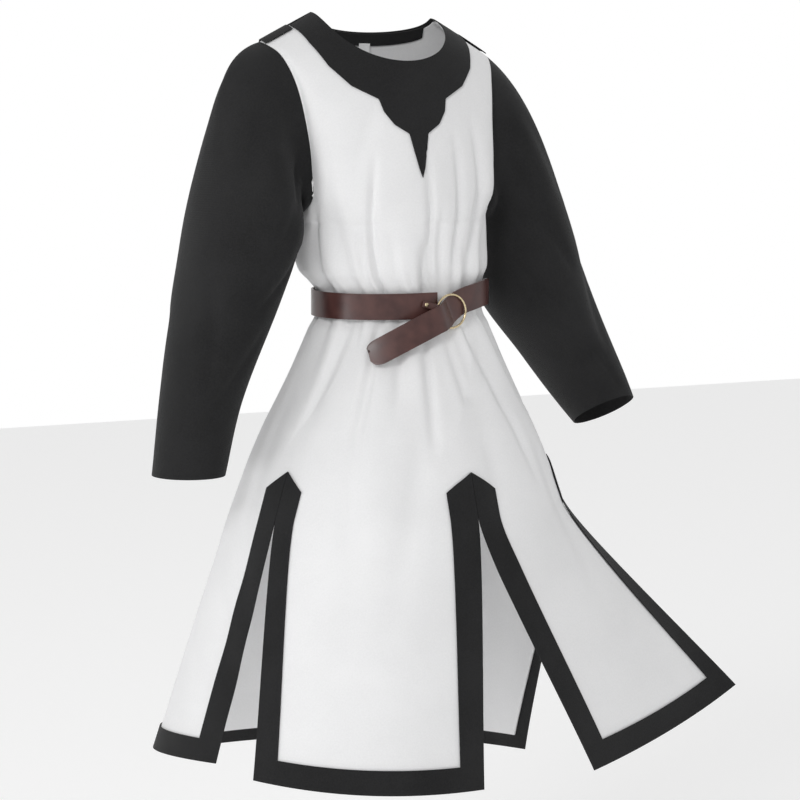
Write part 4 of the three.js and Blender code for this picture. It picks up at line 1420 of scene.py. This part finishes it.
@dataclass
class Belt:
    """The leather belt: one strap, a brass ring, and the tab and rivet that hold the ring."""

    width: float = 0.038
    start: float = 4.0
    end_turn: float = 402.0
    tip_turns: float = 7.0
    tip_roundness: float = 2.4
    tip_flat: float = 0.36
    through: float = 340.0
    laps_from: float = 356.0
    laps_over: float = 30.0
    loose_tilt: float = 0.42
    ring_angle: float = math.radians(12)
    ring_swing: float = math.radians(5)
    ring_radius: float = 0.0244
    ring_wire: float = 0.0016
    ring_lift: float = 0.0085
    ring_low: float = 0.009
    tab_from: float = 0.024
    tab_wide: float = 0.009
    tab_low: float = -0.0035
    tab_leaf: float = 0.00305
    tab_turn: float = 0.33
    tab_rise: float = math.pi / 12
    rivet_out: float = 0.018
    rivet_radius: float = 0.003
    rivet_tall: float = 0.0018
    course: tuple[StrapSpot, ...] = (
        StrapSpot(0, -0.415, 0.0062),
        StrapSpot(30, -0.415, 0.0064),
        StrapSpot(60, -0.415, 0.0074),
        StrapSpot(120, -0.415, 0.0078),
        StrapSpot(250, -0.413, 0.0078),
        StrapSpot(308, -0.403, 0.0100),
        StrapSpot(334, -0.409, 0.0062),
        StrapSpot(343, -0.414, 0.0056),
        StrapSpot(348, -0.419, 0.0066),
        StrapSpot(352, -0.4236, 0.0094),
        StrapSpot(356, -0.428, 0.0168),
        StrapSpot(360, -0.432, 0.0228),
        StrapSpot(364, -0.436, 0.0240),
        StrapSpot(380, -0.455, 0.0180),
        StrapSpot(402, -0.484, 0.0110),
    )

    def strap_point(self, turn: Array) -> Array:
        """Middle points of the strap at given turns from its fixed end."""
        angle = np.radians(self.start - turn)
        z = column_along(self.course, "turn", "z", turn)
        lift = column_along(self.course, "turn", "lift", turn)
        return ring_point(angle, z, False) + outward(angle, z) * lift[..., None]

    def strap_grid(self) -> Array:
        """The strap's grid, with a rounded loose end."""
        loose = np.linspace(self.through, self.end_turn, 124)[1:]
        turns = np.concatenate([np.linspace(0, self.through, 300), loose])
        middle = self.strap_point(turns)
        course = unit(self.strap_point(turns + 0.5) - self.strap_point(turns - 0.5))
        normal = outward(np.radians(self.start - turns), middle[:, 2])
        normal[:, 2] += self.loose_tilt * smooth((turns - self.laps_from) / self.laps_over)
        wide = unit(np.cross(normal, course))
        tip = np.clip((self.end_turn - turns) / self.tip_turns, 0, 1)
        round_end = (1 - (1 - tip) ** self.tip_roundness) ** (1 / self.tip_roundness)
        half = (self.width / 2) * mix(self.tip_flat, 1, round_end)
        s = np.linspace(-1, 1, 13)[None, :, None]
        return middle[:, None, :] + wide[:, None, :] * half[:, None, None] * s

    def ring_place(self) -> tuple[Vector, Vector]:
        """The ring's middle, and the direction that its hole faces."""
        out = outward(self.ring_angle, BELT_Z)
        centre = ring_point(np.asarray(self.ring_angle), np.asarray(BELT_Z - self.ring_low), False)
        normal = Matrix.Rotation(self.ring_swing, 3, "Z") @ Vector(out)
        return Vector(centre + out * self.ring_lift), normal

    def build_ring(self, finishes: Finishes) -> bpy.types.Object:
        """Makes the wire ring, a little thicker where its ends are joined."""
        centre, normal = self.ring_place()
        bpy.ops.object.select_all(action="DESELECT")
        bpy.ops.mesh.primitive_torus_add(
            major_segments=120,
            minor_segments=24,
            major_radius=self.ring_radius,
            minor_radius=self.ring_wire,
        )
        ring = bpy.context.object
        ring.name = "belt_ring_wire"
        for vertex in ring.data.vertices:
            vertex.select = abs(vertex.co.y) < 0.0016 and vertex.co.x < 0
        bpy.ops.object.mode_set(mode="EDIT")
        bpy.ops.transform.resize(
            value=(1.12, 1, 1.12), center_override=(-self.ring_radius, 0, 0), use_proportional_edit=False
        )
        bpy.ops.object.mode_set(mode="OBJECT")
        turn = Vector((0, 0, 1)).rotation_difference(normal)
        ring.data.transform(Matrix.Translation(centre) @ turn.to_matrix().to_4x4())
        finished(ring, finishes.brass, 60)
        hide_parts("belt_ring")
        return ring

    def tab_frame(self) -> Matrix:
        """The tab's frame: x up along the strap from the ring's wire, y across it and z outwards."""
        centre, normal = self.ring_place()
        up = Vector((0, 0, 1))
        outwards = Vector(outward(self.ring_angle - self.tab_turn, BELT_Z))
        lean = math.cos(self.tab_rise), up * math.sin(self.tab_rise)
        wire = centre + (normal.cross(up).normalized() * lean[0] + lean[1]) * self.ring_radius
        strapward = outwards.cross(up).normalized() * lean[0] + lean[1]
        turned = Matrix((strapward, outwards.cross(strapward), outwards)).transposed().to_4x4()
        return Matrix.Translation(wire) @ turned

    def build_tab(self, finishes: Finishes) -> bpy.types.Object:
        """Makes the leather tab, bent round the ring's wire and laid on the strap."""
        wall = 0.0015
        hole = 0.0026
        middle = hole + wall / 2
        turns = np.linspace(0.25 * math.pi, 1.5 * math.pi, 36)
        bend = np.stack([middle * np.cos(turns), middle * np.sin(turns)], axis=-1)
        leaf_top = self.tab_low + self.tab_leaf - wall / 2
        run = np.array([[self.tab_from * share, leaf_top] for share in (1, 0.75, 0.5)])
        under = self.tab_low + wall / 2
        lower_leaf = np.array([[0.005, under - 0.0008], [0.0085, under], [0.012, under]])
        path = np.concatenate([run, bend, lower_leaf])
        across = self.tab_wide / 2 * np.linspace(-1, 1, 9)
        x = path[:, 0][:, None] + 0 * across
        z = path[:, 1][:, None] + 0 * across
        grid = stack(x, across[None, :] + 0 * x, z)
        piece = surface_of("belt_keeper_tab", [Patch.of(grid)])
        apply_modifier(piece, "SUBSURF", levels=1, render_levels=1)
        apply_modifier(piece, "SOLIDIFY", thickness=wall, offset=0)
        apply_modifier(piece, "BEVEL", width=0.0003, segments=2, limit_method="ANGLE")
        piece.data.transform(self.tab_frame())
        finished(piece, finishes.leather)
        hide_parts("belt_keeper")
        return piece

    def build_rivet(self, finishes: Finishes) -> bpy.types.Object:
        """Makes the rivet's domed head with a rolled rim."""
        bpy.ops.object.select_all(action="DESELECT")
        bpy.ops.mesh.primitive_cylinder_add(
            vertices=40, radius=self.rivet_radius, depth=0.5 * self.rivet_tall
        )
        rivet = bpy.context.object
        rivet.name = "belt_rivet_head"
        bpy.ops.object.mode_set(mode="EDIT")
        bpy.ops.mesh.select_mode(type="FACE")
        bpy.ops.mesh.select_all(action="DESELECT")
        bpy.ops.object.mode_set(mode="OBJECT")
        for face in rivet.data.polygons:
            face.select = face.normal.z > 0.9
        bpy.ops.object.mode_set(mode="EDIT")
        for inset, rise in ((0.0006, 0.0004), (0.0007, 0.0003), (0.0008, 0.0002)):
            bpy.ops.mesh.inset(thickness=inset)
            bpy.ops.transform.translate(value=(0, 0, rise))
        bpy.ops.object.mode_set(mode="OBJECT")
        rim = math.radians(40)
        apply_modifier(rivet, "BEVEL", width=0.0002, segments=2, limit_method="ANGLE", angle_limit=rim)
        place = Matrix.Translation((self.rivet_out, 0, self.tab_low + self.tab_leaf + 0.0008))
        rivet.data.transform(self.tab_frame() @ place)
        finished(rivet, finishes.brass, 50)
        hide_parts("belt_rivet")
        return rivet

    def build(self, finishes: Finishes) -> None:
        """Makes the strap, the ring, the tab and the rivet."""
        strap = surface_of("belt_strap_leather", [Patch.of(self.strap_grid())])
        apply_modifier(strap, "SOLIDIFY", thickness=STRAP_THICK, offset=-1)
        edge = math.radians(50)
        apply_modifier(strap, "BEVEL", width=0.0005, segments=3, limit_method="ANGLE", angle_limit=edge)
        finished(strap, finishes.leather)
        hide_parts("belt_strap")
        self.build_ring(finishes)
        self.build_tab(finishes)
        self.build_rivet(finishes)


@dataclass
class Studio:
    """A pale floor, soft lights and the camera."""

    floor_z: float = -1.55
    reach: float = 7.0
    near_glow: float = 0.62
    floor_glow: float = 0.12

    def build(self) -> None:
        """Makes the floor, the lights and the camera."""
        self.backdrop()
        self.lamp("key_light", (-3.9, -3.9, 2.3), 1.4, 105)
        self.lamp("fill_light", (3.6, -2.6, 0.8), 3.4, 2)
        self.lamp("back_light", (0.5, 3.6, 2.6), 3.0, 4)
        self.lamp("side_light", (-4.4, -1.2, -0.9), 1.1, 22)
        self.surroundings()
        bpy.context.scene.view_settings.view_transform = "Standard"
        self.camera()

    def surroundings(self) -> None:
        """Makes a white room that is dimmer on the viewer's side."""
        world = bpy.data.worlds.new("studio")
        world.use_nodes = True
        tree = world.node_tree
        light = tree.nodes["Background"]
        light.inputs["Color"].default_value = (1, 1, 1, 1)
        away = tree.nodes.new("ShaderNodeVectorMath")
        away.operation = "DOT_PRODUCT"
        away.inputs[1].default_value = (-math.sin(VIEW_AZIMUTH), math.cos(VIEW_AZIMUTH), 0)
        span = tree.nodes.new("ShaderNodeMapRange")
        limits = {"From Min": 0.1, "From Max": 0.8, "To Min": self.near_glow, "To Max": 1.0}
        for name, value in limits.items():
            span.inputs[name].default_value = value
        tree.links.new(tree.nodes.new("ShaderNodeTexCoord").outputs["Generated"], away.inputs[0])
        tree.links.new(away.outputs["Value"], span.inputs["Value"])
        tree.links.new(span.outputs["Result"], light.inputs["Strength"])
        bpy.context.scene.world = world

    def backdrop(self) -> None:
        """Makes a wide pale floor."""
        bpy.ops.object.select_all(action="DESELECT")
        bpy.ops.mesh.primitive_grid_add(x_subdivisions=8, y_subdivisions=8, size=2 * self.reach)
        floor = bpy.context.object
        floor.name = "studio_floor"
        floor.data.transform(Matrix.Translation((0, 0, self.floor_z)))
        material = bpy.data.materials.new("studio_paper")
        tree = NodeTree(material)
        place = tree.add("ShaderNodeTexCoord").outputs["Object"]
        paper = tree.add("ShaderNodeTexNoise", scale=60.0, detail=2.0)
        tree.join(place, paper.inputs["Vector"])
        colour = tree.ramp(paper.outputs[0], (0.95,) * 3, (0.97,) * 3, 0.3, 0.7)
        tree.join(colour, tree.shader.inputs["Base Color"])
        tree.shader.inputs["Roughness"].default_value = 0.9
        tree.shader.inputs["Emission Color"].default_value = (1, 1, 1, 1)
        tree.shader.inputs["Emission Strength"].default_value = self.floor_glow
        floor.data.materials.append(material)

    def lamp(self, name: str, place: tuple[float, float, float], size: float, power: float) -> None:
        """Adds a large square light that faces the tunic.

        Args:
            name: the light's name.
            place: where it stands.
            size: the length of its side.
            power: its power in watts.
        """
        data = bpy.data.lights.new(name, "AREA")
        data.size = size
        data.energy = power
        light = bpy.data.objects.new(name, data)
        light.location = place
        light.rotation_euler = (VIEW_TARGET - Vector(place)).to_track_quat("-Z", "Y").to_euler()
        bpy.context.collection.objects.link(light)

    def camera(self) -> None:
        """Adds the camera at the view's azimuth, elevation and distance."""
        data = bpy.data.cameras.new("view")
        data.lens = VIEW_LENS
        data.sensor_width = 36.0
        data.clip_end = 60.0
        camera = bpy.data.objects.new("view", data)
        level = math.cos(VIEW_ELEVATION)
        back = Vector(
            (math.sin(VIEW_AZIMUTH) * level, -math.cos(VIEW_AZIMUTH) * level, math.sin(VIEW_ELEVATION))
        )
        camera.location = VIEW_TARGET + back * VIEW_DISTANCE
        camera.rotation_euler = back.to_track_quat("Z", "Y").to_euler()
        bpy.context.collection.objects.link(camera)
        bpy.context.scene.camera = camera


SLEEVES = (
    Sleeve(
        "right",
        -1,
        0.25,
        (
            SleeveSection(-0.237, -0.048, -0.325, 0.068, 0.112, 14),
            SleeveSection(-0.262, -0.045, -0.415, 0.067, 0.098, 10),
            SleeveSection(-0.302, -0.050, -0.550, 0.057, 0.070, 5),
            SleeveSection(-0.326, -0.060, -0.655, 0.053, 0.056, 0),
        ),
        (
            Crease(150, -0.130, 95, -0.300, 0.014, 0.006),
            Crease(60, -0.110, 40, -0.260, 0.018, 0.005),
            Crease(100, -0.250, 60, -0.400, 0.014, 0.006),
            Crease(130, -0.330, 80, -0.420, 0.010, 0.005),
            Crease(20, -0.360, 60, -0.520, 0.014, 0.005),
            Crease(110, -0.440, 70, -0.600, 0.012, 0.004),
            Crease(200, -0.160, 250, -0.320, 0.014, 0.006),
            Crease(300, -0.150, 280, -0.330, 0.016, 0.005),
            Crease(230, -0.330, 290, -0.450, 0.012, 0.005),
            Crease(320, -0.420, 280, -0.600, 0.013, 0.005),
            Crease(180, -0.420, 210, -0.560, 0.012, 0.004),
        ),
        (0.44, 0.65),
        0.258,
    ),
    Sleeve(
        "left",
        1,
        0.70,
        (
            SleeveSection(0.243, -0.014, -0.325, 0.070, 0.112, 0),
            SleeveSection(0.271, -0.010, -0.420, 0.081, 0.110, 0),
            SleeveSection(0.331, -0.011, -0.515, 0.064, 0.086, 0, 0.04, 0.13),
            SleeveSection(0.391, -0.015, -0.605, 0.043, 0.054, 0, 0.17, 0.47),
        ),
        (
            Crease(140, -0.140, 100, -0.290, 0.014, 0.006),
            Crease(60, -0.120, 50, -0.280, 0.018, 0.005),
            Crease(110, -0.270, 70, -0.380, 0.013, 0.006),
            Crease(150, -0.340, 95, -0.440, 0.011, 0.005),
            Crease(30, -0.340, 70, -0.500, 0.014, 0.005),
            Crease(110, -0.420, 80, -0.570, 0.012, 0.004),
            Crease(210, -0.160, 250, -0.300, 0.014, 0.006),
            Crease(300, -0.150, 285, -0.320, 0.016, 0.005),
            Crease(240, -0.310, 290, -0.420, 0.012, 0.005),
            Crease(320, -0.400, 280, -0.560, 0.013, 0.005),
        ),
        (0.45, 0.62),
        0.256,
    ),
)


def main() -> None:
    """Builds the tunic piece by piece, then the studio."""
    finishes = Finishes()
    front = BodyCloth("front", 1, (RIGHT_PANEL, FRONT_PANEL, LEFT_PANEL), (0.95, 1.13), 0.62)
    back = BodyCloth("back", -1, (LEFT_PANEL, BACK_PANEL, RIGHT_PANEL), (0.95, 1.15), 0.62)
    front_rows, back_rows = front.rows(), back.rows()
    front.build(finishes)
    back.build(finishes)
    for sleeve in SLEEVES:
        sleeve.build(finishes, front_rows, back_rows, front.yoke_rows)
    Collar().build(finishes)
    for panel in PANELS:
        Border(panel, (BORDER_WIDTH, BORDER_LENGTHS[panel.name])).build(finishes)
    Belt().build(finishes)
    Studio().build()
    bpy.context.view_layer.update()


if __name__ == "__main__":
    main()
